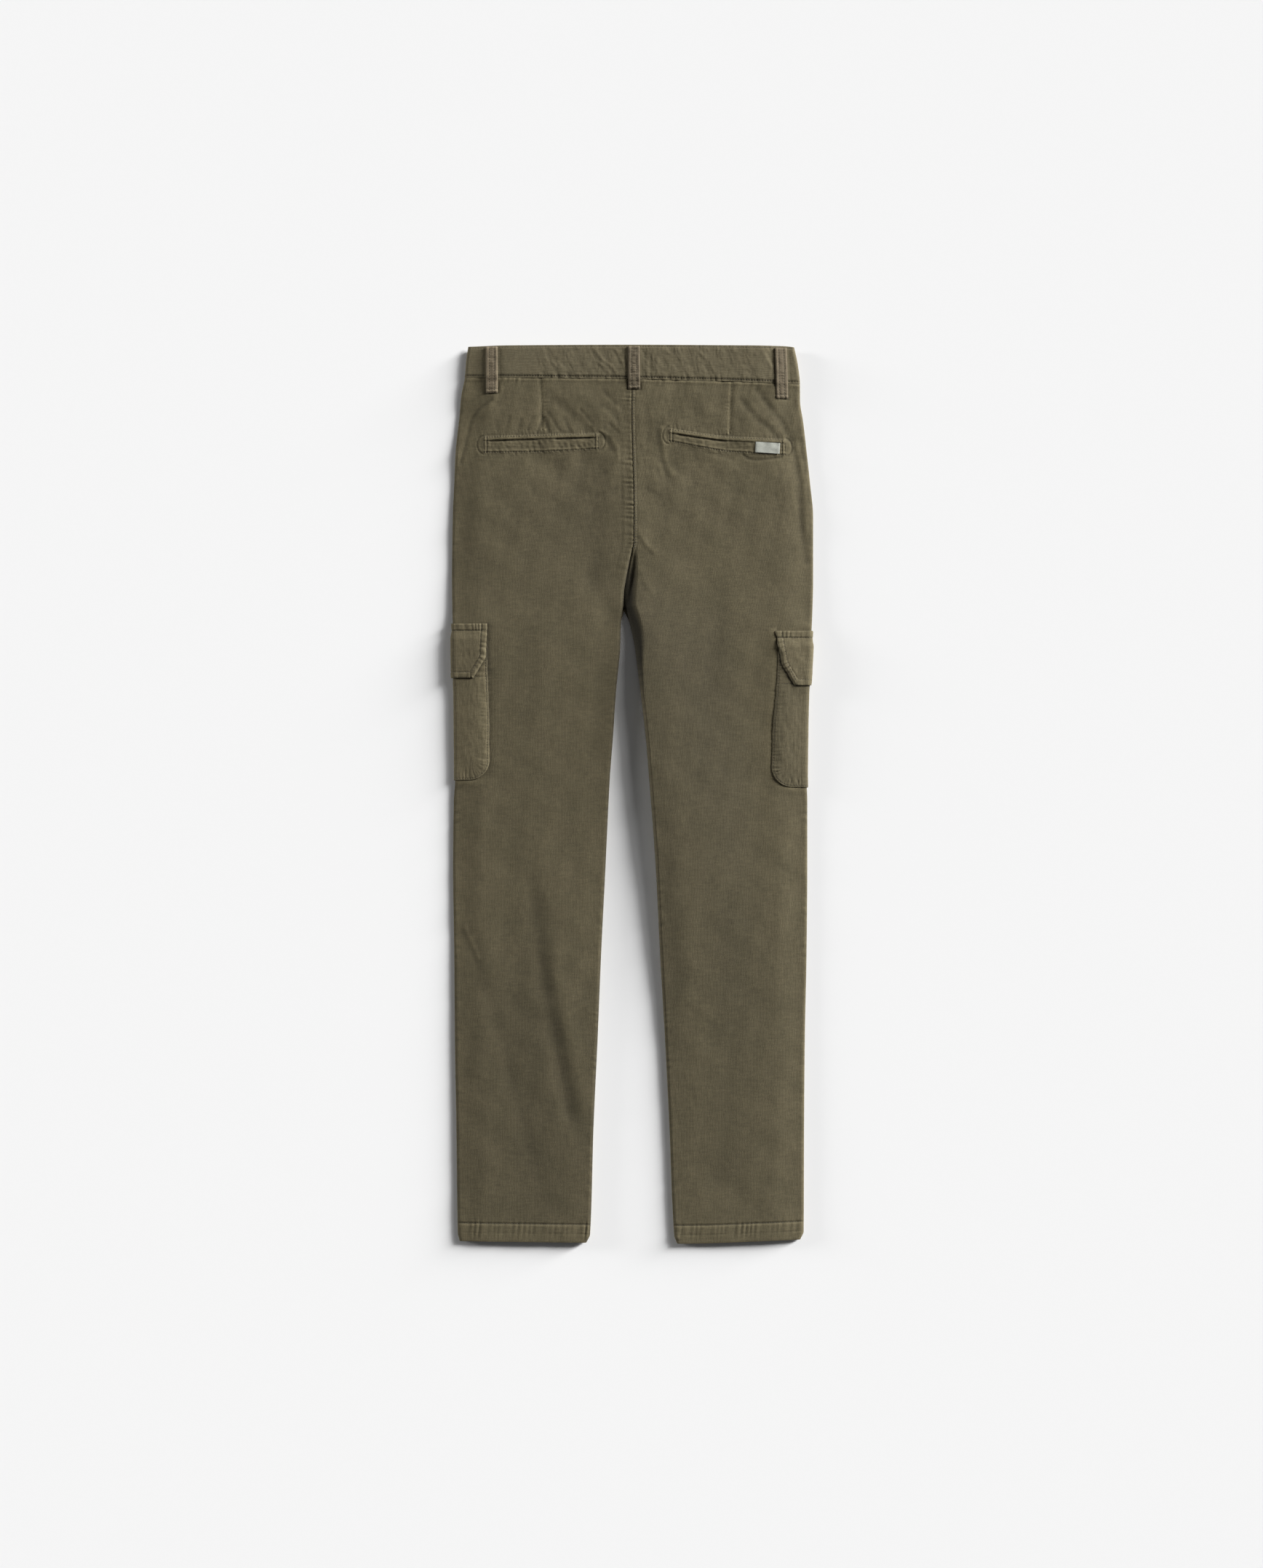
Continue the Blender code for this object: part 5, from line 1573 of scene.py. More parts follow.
@dataclass
class Waistband:
    """A stretch of the waistband.

    Attributes:
        name: the CAD node's name.
        facing: back or front.
        x_start: where it starts, or None at the left side fold.
        x_end: where it ends, or None at the right side fold.
        columns: cells across its flat part.
        rows: cells down.
        arc_columns: cells round a side fold.
    """

    name: str
    facing: Facing
    x_start: float | None
    x_end: float | None
    columns: int
    rows: int
    arc_columns: int = 8
    coarse: ClassVar[int] = 4

    def edge_ease(self, share: Array) -> Array:
        """How far the face rolls down at its upper and lower edges."""
        return 0.7 * fade(share, 0.05) + 0.75 * fade(1 - share, 0.13)

    def relief(self, x: Array, share: Array) -> Array:
        """Gathers, slanting creases and the sunk stitch lines."""
        if self.facing is Facing.FRONT:
            return np.zeros(np.broadcast(x, share).shape)
        drop = share * WAIST_SEAM
        from_seam = (1 - share) * WAIST_SEAM
        gathered = 0.25 + 0.75 * fade(-76 - x, 26) * fade(x - 132, 14)
        slow = Ripple(81, 17.0, 20.0, 10)(x, drop)
        fine = Ripple(82, 9.0, 11.0, 14)(x + 4 * slow, drop)
        crumple = 0.10 * slow + 0.05 * bell(fine, 0.5) + 0.06 * fine - 0.05
        crumple += 0.03 * Ripple(84, 4.5, 7.0, 20)(x, drop)
        crumple += Puckers(7.6, 6.0, 0.34, 83, 0.1, 0.3)(x, from_seam)
        crumple += Puckers(3.4, 2.6, 0.09, 85)(x, from_seam) + Puckers(6.4, 3.0, 0.15, 86, -0.2)(x, drop)
        height = gather_height(x, share) * np.sin(np.clip(share, 0, 1) * math.pi) ** 0.5
        height += crumple * gathered + creases(BAND_CREASES, x, drop)
        for loop in BACK_LOOPS:
            height *= 1 - fade(np.abs(x - loop.x_top) - 5.5, 4.0)
        return height - 0.42 * beads(x, 0.35) * bell(from_seam - 2.0, 0.7) - 0.4 * bell(drop - 1.7, 0.7)

    def ends(self, share: Array) -> tuple[Array, Array]:
        """x at which the flat part starts and ends."""
        nominal = share * WAIST_SEAM
        left = self.x_start
        right = self.x_end
        if left is None:
            left = LEGS[Side.LEFT].fold(nominal) + FOLD_REACH
        if right is None:
            right = LEGS[Side.RIGHT].fold(nominal) - FOLD_REACH
        return left, right

    def top(self, x: Array) -> Array:
        """Drop of the upper edge, which is lower on the front."""
        return WAIST_TOP(x) + (FRONT_WAIST_STEP if self.facing is Facing.FRONT else 0.0)

    def grids(self) -> tuple[Array, Array, Array, Array, Array]:
        """Outer points, plain points, plain normals, x and share down.

        The face is flat between quarter ellipses at the side folds.
        """
        up = self.facing.up
        arc = np.linspace(0, QUARTER, self.arc_columns + 1)[:-1]
        full = np.full(len(arc), QUARTER)
        along = np.linspace(0, 1, self.columns + 1)
        turn_left = np.full(len(along), QUARTER)
        turn_right = turn_left
        if self.x_start is None:
            turn_left = np.concatenate([arc, turn_left])
            turn_right = np.concatenate([full, turn_right])
            along = np.concatenate([np.zeros(len(arc)), along])
        if self.x_end is None:
            turn_left = np.concatenate([turn_left, full])
            turn_right = np.concatenate([turn_right, arc[::-1]])
            along = np.concatenate([along, np.ones(len(arc))])
        share = np.linspace(0, 1, self.rows + 1)[:, None]
        left, right = self.ends(share)
        x = left + along * (right - left) - FOLD_REACH * (np.cos(turn_left) - np.cos(turn_right))
        top = self.top(x)
        down = top + (WAIST_LINE(x) - HALF_GAP - top) * share
        low, high = band_faces(x, share * WAIST_SEAM)
        plain_z = (high if up > 0 else low) - up * self.edge_ease(share)
        edge_z = (low + high) / 2 + up * HALF_GAP
        rounding = np.sin(turn_left) * np.sin(turn_right)

        def lay(flat_z: Array) -> Array:
            """Points of a face whose flat part has these heights."""
            return spot(x, down, edge_z + (flat_z - edge_z) * rounding)

        def tilt(turn: Array) -> Array:
            """How far the normal has turned up from the level."""
            return np.arctan2(FOLD_REACH * np.sin(turn), BAND_STACK / 2 * np.cos(turn))

        nx = np.broadcast_to(np.cos(tilt(turn_right)) - np.cos(tilt(turn_left)), x.shape)
        nz = np.broadcast_to(up * np.sin(tilt(turn_left)) * np.sin(tilt(turn_right)), x.shape)
        normals = np.stack([nx, np.zeros(x.shape), nz], axis=-1)
        shares = np.broadcast_to(share, x.shape)
        outer = lay(plain_z + up * self.relief(x, shares))
        return outer, lay(plain_z), normals, x, shares

    def build(self, finish: Finish) -> None:
        """Build the stretch."""
        outer, plain, normals, x, share = self.grids()
        relief = (outer - plain)[..., 2] * self.facing.up
        # A little lighter from x = 20 on, and painted light at the left end against the shade where the
        # band slopes down to its fold.
        tone = wear_and_groove_shade(relief, 4) + 0.03 * fade(20 - x, 30) + 0.06 * fade(x + 150, 26)
        inner = plain - (BAND_CLOTH - 2 * self.edge_ease(share)[..., None]) * normals
        cloth = np.stack([share * WAIST_SEAM, x], axis=-1)
        rests = "floor" if self.facing is Facing.FRONT else "waistband_front_left"
        Wall(outer, inner, cloth, tone, self.coarse).lay(self.name, plain, rests, finish)

    def point(self, x: Array, drop: Array) -> Array:
        """Points on the flat of the face."""
        top = self.top(x)
        share = np.clip((drop - top) / (WAIST_LINE(x) - HALF_GAP - top), 0, 1)
        low, high = band_faces(x, share * WAIST_SEAM)
        up = self.facing.up
        rise = self.relief(x, share) - self.edge_ease(share)
        return spot(x, drop, (high if up > 0 else low) + up * rise)

    def sewing(self) -> list[Path]:
        """One line along each edge."""
        x = np.linspace(-157.0, 155.0, 160)
        lines = (WAIST_TOP(x) + 1.9, WAIST_LINE(x) - 2.1)
        return [seam_path(np.stack([x, drops], axis=-1), self.point) for drops in lines]


# --- cargo pockets


@dataclass
class PocketPiece:
    """What a cargo pocket's pouch and flap share: both lie round the side fold.

    A place on them is a girth, the way round from the side fold's middle with
    the back positive, and a depth below the flap's top.

    Attributes:
        leg: the leg.
        kind: its name.
        thickness: of its cloth.
        columns: cells round it.
        crowding: stops and spacings of those cells.
    """

    leg: Leg
    kind: ClassVar[str]
    thickness: ClassVar[float]
    columns: ClassVar[int]
    crowding: ClassVar[tuple]
    coarse: ClassVar[int] = 4

    def wrapped(self, girth: Array, depth: Array, out: Array) -> Array:
        """Points at a height over the leg."""
        return self.leg.wrap(self.leg.flap_top + depth, girth, out)

    def surface(self, girth: Array, depth: Array) -> Array:
        """Points on the outside."""
        out = self.plain(girth, depth) + self.thickness + self.relief(girth, depth)
        return self.wrapped(girth, depth, out)

    def outward(self, path: Array) -> Array:
        """The way out from inside the fold, mostly up or down."""
        across = path[:, 0] - self.leg.fold(LENGTH / 2 - path[:, 1]) - self.leg.inward * 4.0
        return np.stack([0.05 * across, 0 * across, path[:, 2] - 4.0], axis=-1)

    def build(self, rests: str, finish: Finish) -> None:
        """Build the piece."""
        depth = self.depths()
        back, front = self.edges(depth)
        girth = back - (back + front) * crowded(*self.crowding, self.columns)
        depth = np.broadcast_to(depth, girth.shape)
        under = self.plain(girth, depth)
        relief = self.relief(girth, depth)
        outer, plain, inner = (
            self.wrapped(girth, depth, under + over)
            for over in (self.thickness + relief, self.thickness, 0.0)
        )
        cloth = np.stack([girth, self.leg.flap_top + depth], axis=-1)
        tone = wear_and_groove_shade(relief, 4) + self.shade(girth, depth)
        wall = Wall(outer, inner, cloth, tone, self.coarse)
        wall.lay(f"cargo_{self.kind}_{self.leg.side.value}", plain, rests, finish)


@dataclass
class Pouch(PocketPiece):
    """The cargo pocket's pouch, with round lower corners."""

    front_width: float = 66.0
    mouth: float = 20.0
    puff: float = 1.3
    mouth_hem: float = 51.0
    inset: float = 1.8
    rows: int = 160
    kind: ClassVar[str] = "pouch"
    thickness: ClassVar[float] = POUCH_CLOTH
    columns: ClassVar[int] = 128
    crowding: ClassVar[tuple] = ((0.0, 0.34, 1.0), (0.45, 1.0))
    corner_start: ClassVar[float] = POUCH_END - POUCH_CORNER

    def edges(self, depth: Array) -> tuple[Array, Array]:
        """Back and front edges, as ways round the fold, by depth.

        A round corner pulls them in by 1 - cos of its turn.
        """
        turn = np.arcsin(np.clip((depth - self.corner_start) / POUCH_CORNER, 0, 1))
        pull = POUCH_CORNER * (1 - np.cos(turn))
        waver = 0.3 * Ripple(91, 13.0, 1.0, 8).along_line(depth)
        return self.leg.pouch_edge(depth) - pull + waver, self.front_width - pull

    def depths(self) -> Array:
        """Depth of each row, with rows crowded where the corners turn."""
        straight = self.corner_start - self.mouth
        run = np.linspace(0, straight + POUCH_CORNER * QUARTER, self.rows + 1)[:, None]
        turn = np.clip((run - straight) / POUCH_CORNER, 0, QUARTER)
        return self.mouth + np.minimum(run, straight) + POUCH_CORNER * np.sin(turn)

    def plain(self, girth: Array, depth: Array) -> Array:
        """Height of the pouch's inner face over the leg."""
        across = np.clip(girth / self.edges(depth)[0], 0, 1)
        down = np.clip((depth - 45) / (POUCH_END - 45), 0, 1)
        return SEAM_GAP + self.puff * (np.sin(across * math.pi) ** 0.8 * np.sin(down * math.pi) ** 0.8)

    def edge_place(self, girth: Array, depth: Array) -> tuple[Array, Array]:
        """Distance in from the sewn edge, and way along it, round its corners."""
        straight = np.minimum(depth, self.corner_start)
        back, front = self.edges(straight)
        beside = np.minimum(back - girth, front + girth)
        corner_x = POUCH_CORNER - beside
        corner_y = depth - self.corner_start
        below = np.maximum(corner_y, 0)
        rounded = POUCH_CORNER - np.hypot(corner_x, corner_y)
        off = np.where((corner_x > 0) & (corner_y > 0), rounded, np.minimum(beside, POUCH_END - depth))
        way = straight + POUCH_CORNER * np.arctan2(below, np.maximum(corner_x, 1e-3))
        return off, way + np.maximum(-corner_x, 0) * (corner_y > 0)

    def relief(self, girth: Array, depth: Array) -> Array:
        """Ridge and groove along the edge, radial puckers, mouth hem, crumples."""
        off, way = self.edge_place(girth, depth)
        seed, fall = (101, 0.50) if self.leg.is_left else (131, 0.75)
        strength = 0.5 + 0.6 * fade(np.abs(way - POUCH_END) - 12, 30)
        height = Puckers(4.8, 5.5, 0.24, seed, 0.12, 0.55)(way, np.abs(off - 5.5)) * strength
        height += Puckers(3.1, 2.5, 0.10, seed + 2)(way, np.abs(off - 2.5))
        height += 0.05 * bell(off - 0.9, 0.5) - fall * bell(off, 0.6)
        height -= 0.36 * beads(way, 0.35) * bell(off - 1.8, 0.6) + 0.30 * bell(depth - self.mouth_hem, 0.7)
        height += 0.10 * Ripple(seed + 5, 16.0, 24.0)(girth, depth)
        height += 0.05 * Ripple(seed + 6, 5.0, 11.0, 20)(girth, depth)
        return height * (1 - 0.5 * fade(girth, 12.0))

    def shade(self, girth: Array, depth: Array) -> Array:
        """Painted shadow of the flap beside and below it and, on the left, painted shade along the sewn
        edge, weak at the bottom; the left pouch is lighter overall and the right one darker.
        """
        past_flap = np.maximum(depth - FLAP_DEPTH, (girth - self.leg.flap_edge(depth)) * 0.85)
        tone = -0.30 * bell(past_flap - 0.4, 1.4)
        if not self.leg.is_left:
            return tone - 0.07
        edge = bell(self.edge_place(girth, depth)[0] + 0.2, 1.1)
        return tone - (0.05 + 0.38 * fade(depth - 112, 16)) * edge + 0.15

    def sewing(self) -> list[Path]:
        """The line inside the edge, from mouth to mouth, and the mouth hem's line."""
        turn = np.linspace(0, QUARTER, 10)
        reach = POUCH_CORNER - self.inset
        straight = np.linspace(self.mouth + 1, self.corner_start, 24)[:-1]
        back = self.leg.pouch_edge(self.corner_start) - POUCH_CORNER
        front = POUCH_CORNER - self.front_width
        across, along = reach * np.cos(turn), reach * np.sin(turn)
        parts = (
            (self.leg.pouch_edge(straight) - self.inset, straight),
            (back + across, self.corner_start + along),
            (front - along, self.corner_start + across),
            (self.inset - self.front_width + 0 * straight, straight[::-1]),
        )
        edge = np.concatenate([np.stack(part, axis=-1) for part in parts])
        hem = [(28.5, self.mouth_hem), (-62.0, self.mouth_hem)]
        return [seam_path(places, self.surface) for places in (edge, hem)]


@dataclass
class Flap(PocketPiece):
    """The cargo pocket's flap, with a chamfer at each lower corner."""

    front_width: float = 67.5
    band: float = 6.6
    straight_depth: float = 33.0
    chamfer: float = 12.0
    tip_rise: float = 0.5
    hem: float = 5.6
    rows: int = 96
    kind: ClassVar[str] = "flap"
    thickness: ClassVar[float] = FLAP_CLOTH
    columns: ClassVar[int] = 176
    crowding: ClassVar[tuple] = ((0.0, 0.36, 1.0), (0.6, 1.0))

    def depths(self) -> Array:
        """Depth of each row."""
        return np.linspace(0, FLAP_DEPTH, self.rows + 1)[:, None]

    def edges(self, depth: Array) -> tuple[Array, Array]:
        """Back and front edges, as ways round the fold, by depth."""
        cut = np.clip((depth - self.straight_depth) / (FLAP_DEPTH - self.straight_depth), 0, 1)
        waver = 0.35 * Ripple(92, 11.0, 1.0, 8).along_line(depth)
        return self.leg.flap_edge(depth) + waver, self.front_width - self.chamfer * cut

    def plain(self, girth: Array, depth: Array) -> Array:
        """Height of the flap's inner face over the leg."""
        back, _ = self.edges(depth)
        step = POUCH_CLOTH + SEAM_GAP
        lift = SEAM_GAP + step * (1 - fade(depth - self.band, 9.4))
        droop = 0.6 if self.leg.is_left else 1.0
        lift = lift - droop * fade(back - girth, 3.0) * (1 - fade(depth - 15, 6))
        return lift + self.tip_rise * np.clip(girth / back, 0, 1) * depth / FLAP_DEPTH

    def corners(self) -> list[tuple[float, float]]:
        """The edge's corners, from the top at the back to the top at the front."""
        depths = (0.0, self.straight_depth, FLAP_DEPTH)
        back = [(float(self.leg.flap_edge(depth)), depth) for depth in depths]
        tip = (self.chamfer - self.front_width, FLAP_DEPTH)
        return back + [tip, (-self.front_width, self.straight_depth), (-self.front_width, 0.0)]

    def edge_place(self, girth: Array, depth: Array) -> tuple[Array, Array]:
        """Distance in from the nearest edge but the top, and way along it."""
        off = np.full(girth.shape, 99.0)
        way = np.zeros(girth.shape)
        run = 0.0
        corners = self.corners()
        for (u0, v0), (u1, v1) in zip(corners, corners[1:]):
            length = math.hypot(u1 - u0, v1 - v0)
            along = ((girth - u0) * (u1 - u0) + (depth - v0) * (v1 - v0)) / length
            beside = np.abs((girth - u0) * (v1 - v0) - (depth - v0) * (u1 - u0)) / length
            way = np.where(beside < off, run + along, way)
            off = np.minimum(off, beside)
            run += length
        return off, way

    def relief(self, girth: Array, depth: Array) -> Array:
        """A padded hem round the edge, the top band, grooves and puckers."""
        off, way = self.edge_place(girth, depth)
        seed, flat = (151, 1.0) if self.leg.is_left else (171, 0.6)
        in_hem = fade(off - self.hem + 0.5, 1.2)
        in_band = fade(depth - self.band + 0.5, 1.2)
        height = 0.30 * flat * np.maximum(in_hem, in_band) - 0.38 * flat * bell(off - self.hem, 0.7)
        height -= 0.46 * bell(depth - self.band, 0.7)
        height += Puckers(5.6, 20.0, 0.30, seed, 0.1, 0.4)(way, off) * in_hem * (1 - in_band)
        height += Puckers(4.8, 20.0, 0.22, seed + 4, -0.1, 0.3)(girth, depth) * in_band
        height -= 0.60 * flat * bell(off, 0.6) + 0.50 * bell(depth, 0.6)
        height += 0.10 * Ripple(seed + 8, 14.0, 18.0)(girth, depth)
        height += 0.05 * Ripple(seed + 9, 4.5, 9.0, 20)(girth, depth)
        return height * (1 - 0.4 * fade(girth, 10.0))

    def shade(self, girth: Array, depth: Array) -> Array:
        """A little light all over."""
        return 0.06 + 0.0 * girth

    def sewing(self) -> list[Path]:
        """The line inside the edges and the line under the top band."""
        _, (back, _), (tip, _), (front_tip, _), _, _ = self.corners()
        tall = FLAP_DEPTH - self.straight_depth
        lower = FLAP_DEPTH - self.hem
        inner_front = self.hem - self.front_width

        def turned(cut: float) -> tuple[float, float]:
            """How far the line's corners move in and up at a chamfer this wide."""
            slant = math.hypot(cut, tall)
            return self.hem * (slant - cut) / tall * 0.3, self.hem * (slant - tall) / cut * 0.6

        rise, shift = turned(back - tip)
        front_rise, front_shift = turned(self.chamfer)
        outline = [
            (float(self.leg.flap_edge(1.0)) - self.hem, 1.0),
            (back - self.hem, self.straight_depth - shift),
            (tip - rise, lower),
            (front_tip + front_rise, lower),
            (inner_front, self.straight_depth - front_shift),
            (inner_front, 1.0),
        ]
        start = float(self.leg.flap_edge(self.band)) - 0.8
        band = [(start, self.band), (0.8 - self.front_width, self.band)]
        return [seam_path(places, self.surface) for places in (outline, band)]


# --- small cloth bits


@dataclass
class Welt:
    """A back pocket's welt in its stitched frame, laid over the panel.

    The patch of cloth reaches past the frame, where its edge runs under the
    panel's surface, so that the puckers of the frame are part of it.
    """

    panel: Panel
    rows: int = 72
    columns: int = 288
    beyond: float = 11.0
    above: float = 8.0
    below: float = 5.6
    lip: float = 3.3
    coarse: ClassVar[int] = 4

    def mouth(self, x: Array) -> Array:
        """How far the pocket's mouth stands open: shut where the lip touches."""
        if self.panel.leg.is_left:
            return fade(-135 - x, 5) * (1 - fade(np.abs(x + 83.5) - 7.0, 5.0)) * fade(x + 42, 6)
        return fade(46 - x, 6) * (1 - fade(np.abs(x - 105.5) - 12.0, 8.0)) * fade(x - 138, 5)

    def relief(self, x: Array, drop: Array) -> Array:
        """Height over the panel of the lip, the mouth, the seams and puckers."""
        leg = self.panel.leg
        top, bottom = leg.welt_top(x), leg.welt_bottom(x)
        under = drop - top
        over_bottom = bottom - drop
        inside = np.minimum(x - leg.welt_start, leg.welt_end - x)
        seed = 201 if leg.is_left else 221
        bead = beads(x, 0.35)
        in_x = fade(-inside, 1.2)
        frame = np.maximum(np.maximum(-under, -over_bottom), -inside)

        lip = fade(under - self.lip + 0.6, 0.8) * fade(-under, 1.0)
        across = 0.45 * lip - 0.36 * bead * bell(under, 0.6) + 0.22 * bell(over_bottom - 1.8, 0.9)
        across -= 0.38 * bead * bell(over_bottom - 0.2, 0.6)
        opening = bell(under - self.lip - 0.8, 0.85) * fade(3.0 - inside, 2.0)
        across -= (0.14 + 0.75 * self.mouth(x)) * opening
        ends = 0.16 * bell(inside - 1.45, 0.7) - 0.32 * (bell(inside, 0.6) + bell(inside - 2.9, 0.6))
        height = 0.24 * fade(frame, 1.6) + ends * fade(-under, 1.0) * fade(-over_bottom, 1.0)

        within = Puckers(7.5, 9.0, 0.13, seed, 0.3)(x, over_bottom)
        within += 0.08 * Ripple(seed + 5, 6.0, 5.0, 18)(x, drop)
        across += within * fade(self.lip - under, 2.0) * fade(-over_bottom, 2.0)
        across += Puckers(4.6, 5.0, 0.15, seed + 7, 0.25)(x, -under) * fade(under, 0.4)
        across += Puckers(6.4, 3.0, 0.14, seed + 9, -0.3)(x, -over_bottom) * fade(over_bottom, 0.4)
        height += across * in_x
        tall = (drop - (top + bottom) / 2) / 8.6
        for out in (leg.welt_start - x, x - leg.welt_end):
            far = np.hypot(np.maximum(out, 0) / 6.6, tall)
            rim = 0.12 * bell(far - 0.72, 0.2) - 0.34 * bell(far - 1, 0.12)
            height += rim * fade(0.8 - out, 1.0)
        return height

    def surface(self, x: Array, drop: Array) -> Array:
        """Points on the welt's outside, sunk at the patch's own edge."""
        leg = self.panel.leg
        sides = np.minimum(x - leg.welt_start, leg.welt_end - x) + self.beyond
        ends = np.minimum(drop - leg.welt_top(x) + self.above, leg.welt_bottom(x) + self.below - drop)
        edge = np.minimum(sides, ends)
        z = leg.carved(x, drop) + self.panel.back_relief(x, drop)
        z += 0.03 + self.relief(x, drop) * fade(2.4 - edge, 1.6) - 0.3 * fade(edge, 2.0)
        return spot(x, drop, z)

    def build(self, finish: Finish) -> None:
        """Build the welt."""
        leg = self.panel.leg
        x = np.linspace(leg.welt_start - self.beyond, leg.welt_end + self.beyond, self.columns + 1)
        top, bottom = leg.welt_top(x), leg.welt_bottom(x)
        share = np.linspace(0, 1, self.rows + 1)[:, None]
        drop = top - self.above + (bottom - top + self.above + self.below) * share
        x = np.broadcast_to(x, drop.shape)
        outer = self.surface(x, drop)
        relief = self.relief(x, drop) + self.panel.back_relief(x, drop)
        inner = np.minimum(leg.carved(x, drop) - 0.55, outer[..., 2] - 0.2)
        within = (drop > top) & (drop < bottom) & (x > leg.welt_start) & (x < leg.welt_end)
        turned = np.stack([drop, x], axis=-1)
        cloth = np.where(within[..., None], turned, self.panel.cloth_place(x, drop))
        tone = wear_and_groove_shade(relief, 8) + self.panel.shade(x, drop)
        wall = Wall(outer, inner, cloth, tone, self.coarse)
        wall.lay(f"back_welt_{leg.side.value}", outer, f"back_panel_{leg.side.value}", finish)

    def sewing(self) -> list[Path]:
        """The upper and lower seams and two lines across each end."""
        leg = self.panel.leg
        start, end = leg.welt_start, leg.welt_end
        x = np.linspace(start, end, 60)
        lines = [np.stack([x, drops], axis=-1) for drops in (leg.welt_top(x), leg.welt_bottom(x) - 0.2)]
        for place in (start, start + 2.9, end - 2.9, end):
            lines.append([(place, leg.welt_top(place)), (place, leg.welt_bottom(place))])
        return [seam_path(places, self.surface) for places in lines]


@dataclass
class Label:
    """The plain woven label on the right welt."""

    centre: tuple[float, float] = (130.3, 98.9)
    size: tuple[float, float] = (23.5, 10.2)
    turn: float = math.radians(-3.5)
    thickness: float = 0.5
    lift: float = 0.05
    columns: int = 48
    rows: int = 22

    def build(self, welt: Welt, finish: Finish) -> None:
        """Build the label on the welt's plain top."""
        u = np.linspace(-0.5, 0.5, self.columns + 1)
        u, v = np.meshgrid(u, np.linspace(-0.5, 0.5, self.rows + 1))
        across = u * self.size[0]
        down = v * self.size[1]
        x = self.centre[0] + across * math.cos(self.turn) + down * math.sin(self.turn)
        drop = self.centre[1] - across * math.sin(self.turn) + down * math.cos(self.turn)
        highest = welt.surface(x, drop)[..., 2].max()
        base = np.minimum(highest, welt.panel.leg.carved(x, drop) + 1.1) + self.lift
        relief = 0.16 * Ripple(241, 11.0, 9.0)(x, drop)
        relief -= 0.25 * bell((0.5 - np.abs(u)) * self.size[0], 0.5)
        outer = spot(x, drop, base + self.thickness + relief)
        wall = Wall(outer, base, np.stack([across, down], axis=-1), wear_and_groove_shade(relief, 3, 0.55))
        wall.lay("back_label", wall.inner, "back_welt_right", finish, "tape")


@dataclass
class BeltLoop:
    """A belt loop: a folded strip with two lines of sewing along it."""

    place: LoopPlace
    facing: Facing = Facing.BACK
    rows: int = 76
    columns: int = 30
    inset: float = 3.4
    bow: float = 0.25
    cloth: float = 1.1

    def __post_init__(self) -> None:
        """Work out its length."""
        self.length = self.place.end - self.place.top

    def base(self, x: Array, drop: Array) -> Array:
        """Height of what lies under the loop: the band, then a step to the panel."""
        leg = LEGS[Side.LEFT if self.place.x_top < 1 else Side.RIGHT]
        on_band = fade(drop - WAIST_LINE(x) + 1.0, 5.0)
        return (band_faces(x, drop)[1] + 0.1) * on_band + leg.carved(x, drop) * (1 - on_band)

    def relief(self, across: Array, along: Array) -> Array:
        """Rolled edges, two sunk lines, a folded end and a bar tack."""
        off = LOOP_WIDTH / 2 - np.abs(across)
        left = self.length - along
        seed = 261 + int(abs(self.place.x_top))
        height = 0.08 * bell(off - 1.4, 0.9) - 0.55 * bell(off, 0.6)
        height = height - 0.26 * beads(along, 0.4) * bell(off - self.inset, 0.6)
        height += Puckers(2.9, 4.0, 0.20, seed, 0.0, 0.4)(along, np.abs(across))
        height += 0.14 * Ripple(seed + 3, 6.0, 9.0, 16)(across, along)
        height -= 0.7 * bell(left, 0.8) + 0.7 * bell(along, 0.8)
        return height - 0.40 * bell(left - 3.6, 0.7) + 0.12 * bell(left - 1.8, 0.9)

    def surface(self, across: Array, along: Array) -> Array:
        """Points on the loop's outside, by way across and along it."""
        place = self.place
        share = np.clip(along / self.length, 0, 1)
        x = place.x_top + (place.x_end - place.x_top) * share + across
        drop = place.top + along
        relief = self.relief(across, along)
        if self.facing is Facing.FRONT:
            return spot(x, drop, np.clip(-0.5 * relief, 0.0, 0.65))
        bow = np.sin(share * math.pi) ** 0.7 * self.bow
        return spot(x, drop, self.base(x, drop) + SEAM_GAP + bow + self.cloth + relief)

    def build(self, finish: Finish) -> None:
        """Build the loop."""
        along = np.linspace(0, self.length, self.rows + 1)[:, None]
        across = np.linspace(-0.5, 0.5, self.columns + 1) * LOOP_WIDTH
        across, along = np.broadcast_arrays(across, along)
        outer = self.surface(across, along)
        relief = self.relief(across, along)
        rests = "waistband_back"
        inner = outer[..., 2] - self.cloth - relief
        if self.facing is Facing.FRONT:
            rests = "floor"
            inner = np.full(along.shape, FRONT_LOOP_CLOTH)
        cloth = np.stack([across + self.place.x_top, along], axis=-1)
        # The loop's tone is shifted; the left one is painted lighter against the shade of the sloping band.
        wall = Wall(outer, inner, cloth, wear_and_groove_shade(relief, 3, 0.3) + self.place.painted_tone)
        wall.lay(self.place.name, wall.inner, rests, finish)

    def sewing(self) -> list[Path]:
        """Two lines along the loop and the tack across its lower end."""
        line_at = LOOP_WIDTH / 2 - self.inset
        lines = [[(x, 1.5), (x, self.length - 1.5)] for x in (-line_at, line_at)]
        tack = self.length - 3.4
        lines.append([(-line_at - 1.6, tack), (line_at + 1.6, tack)])
        return [seam_path(places, self.surface) for places in lines]


# --- hidden front


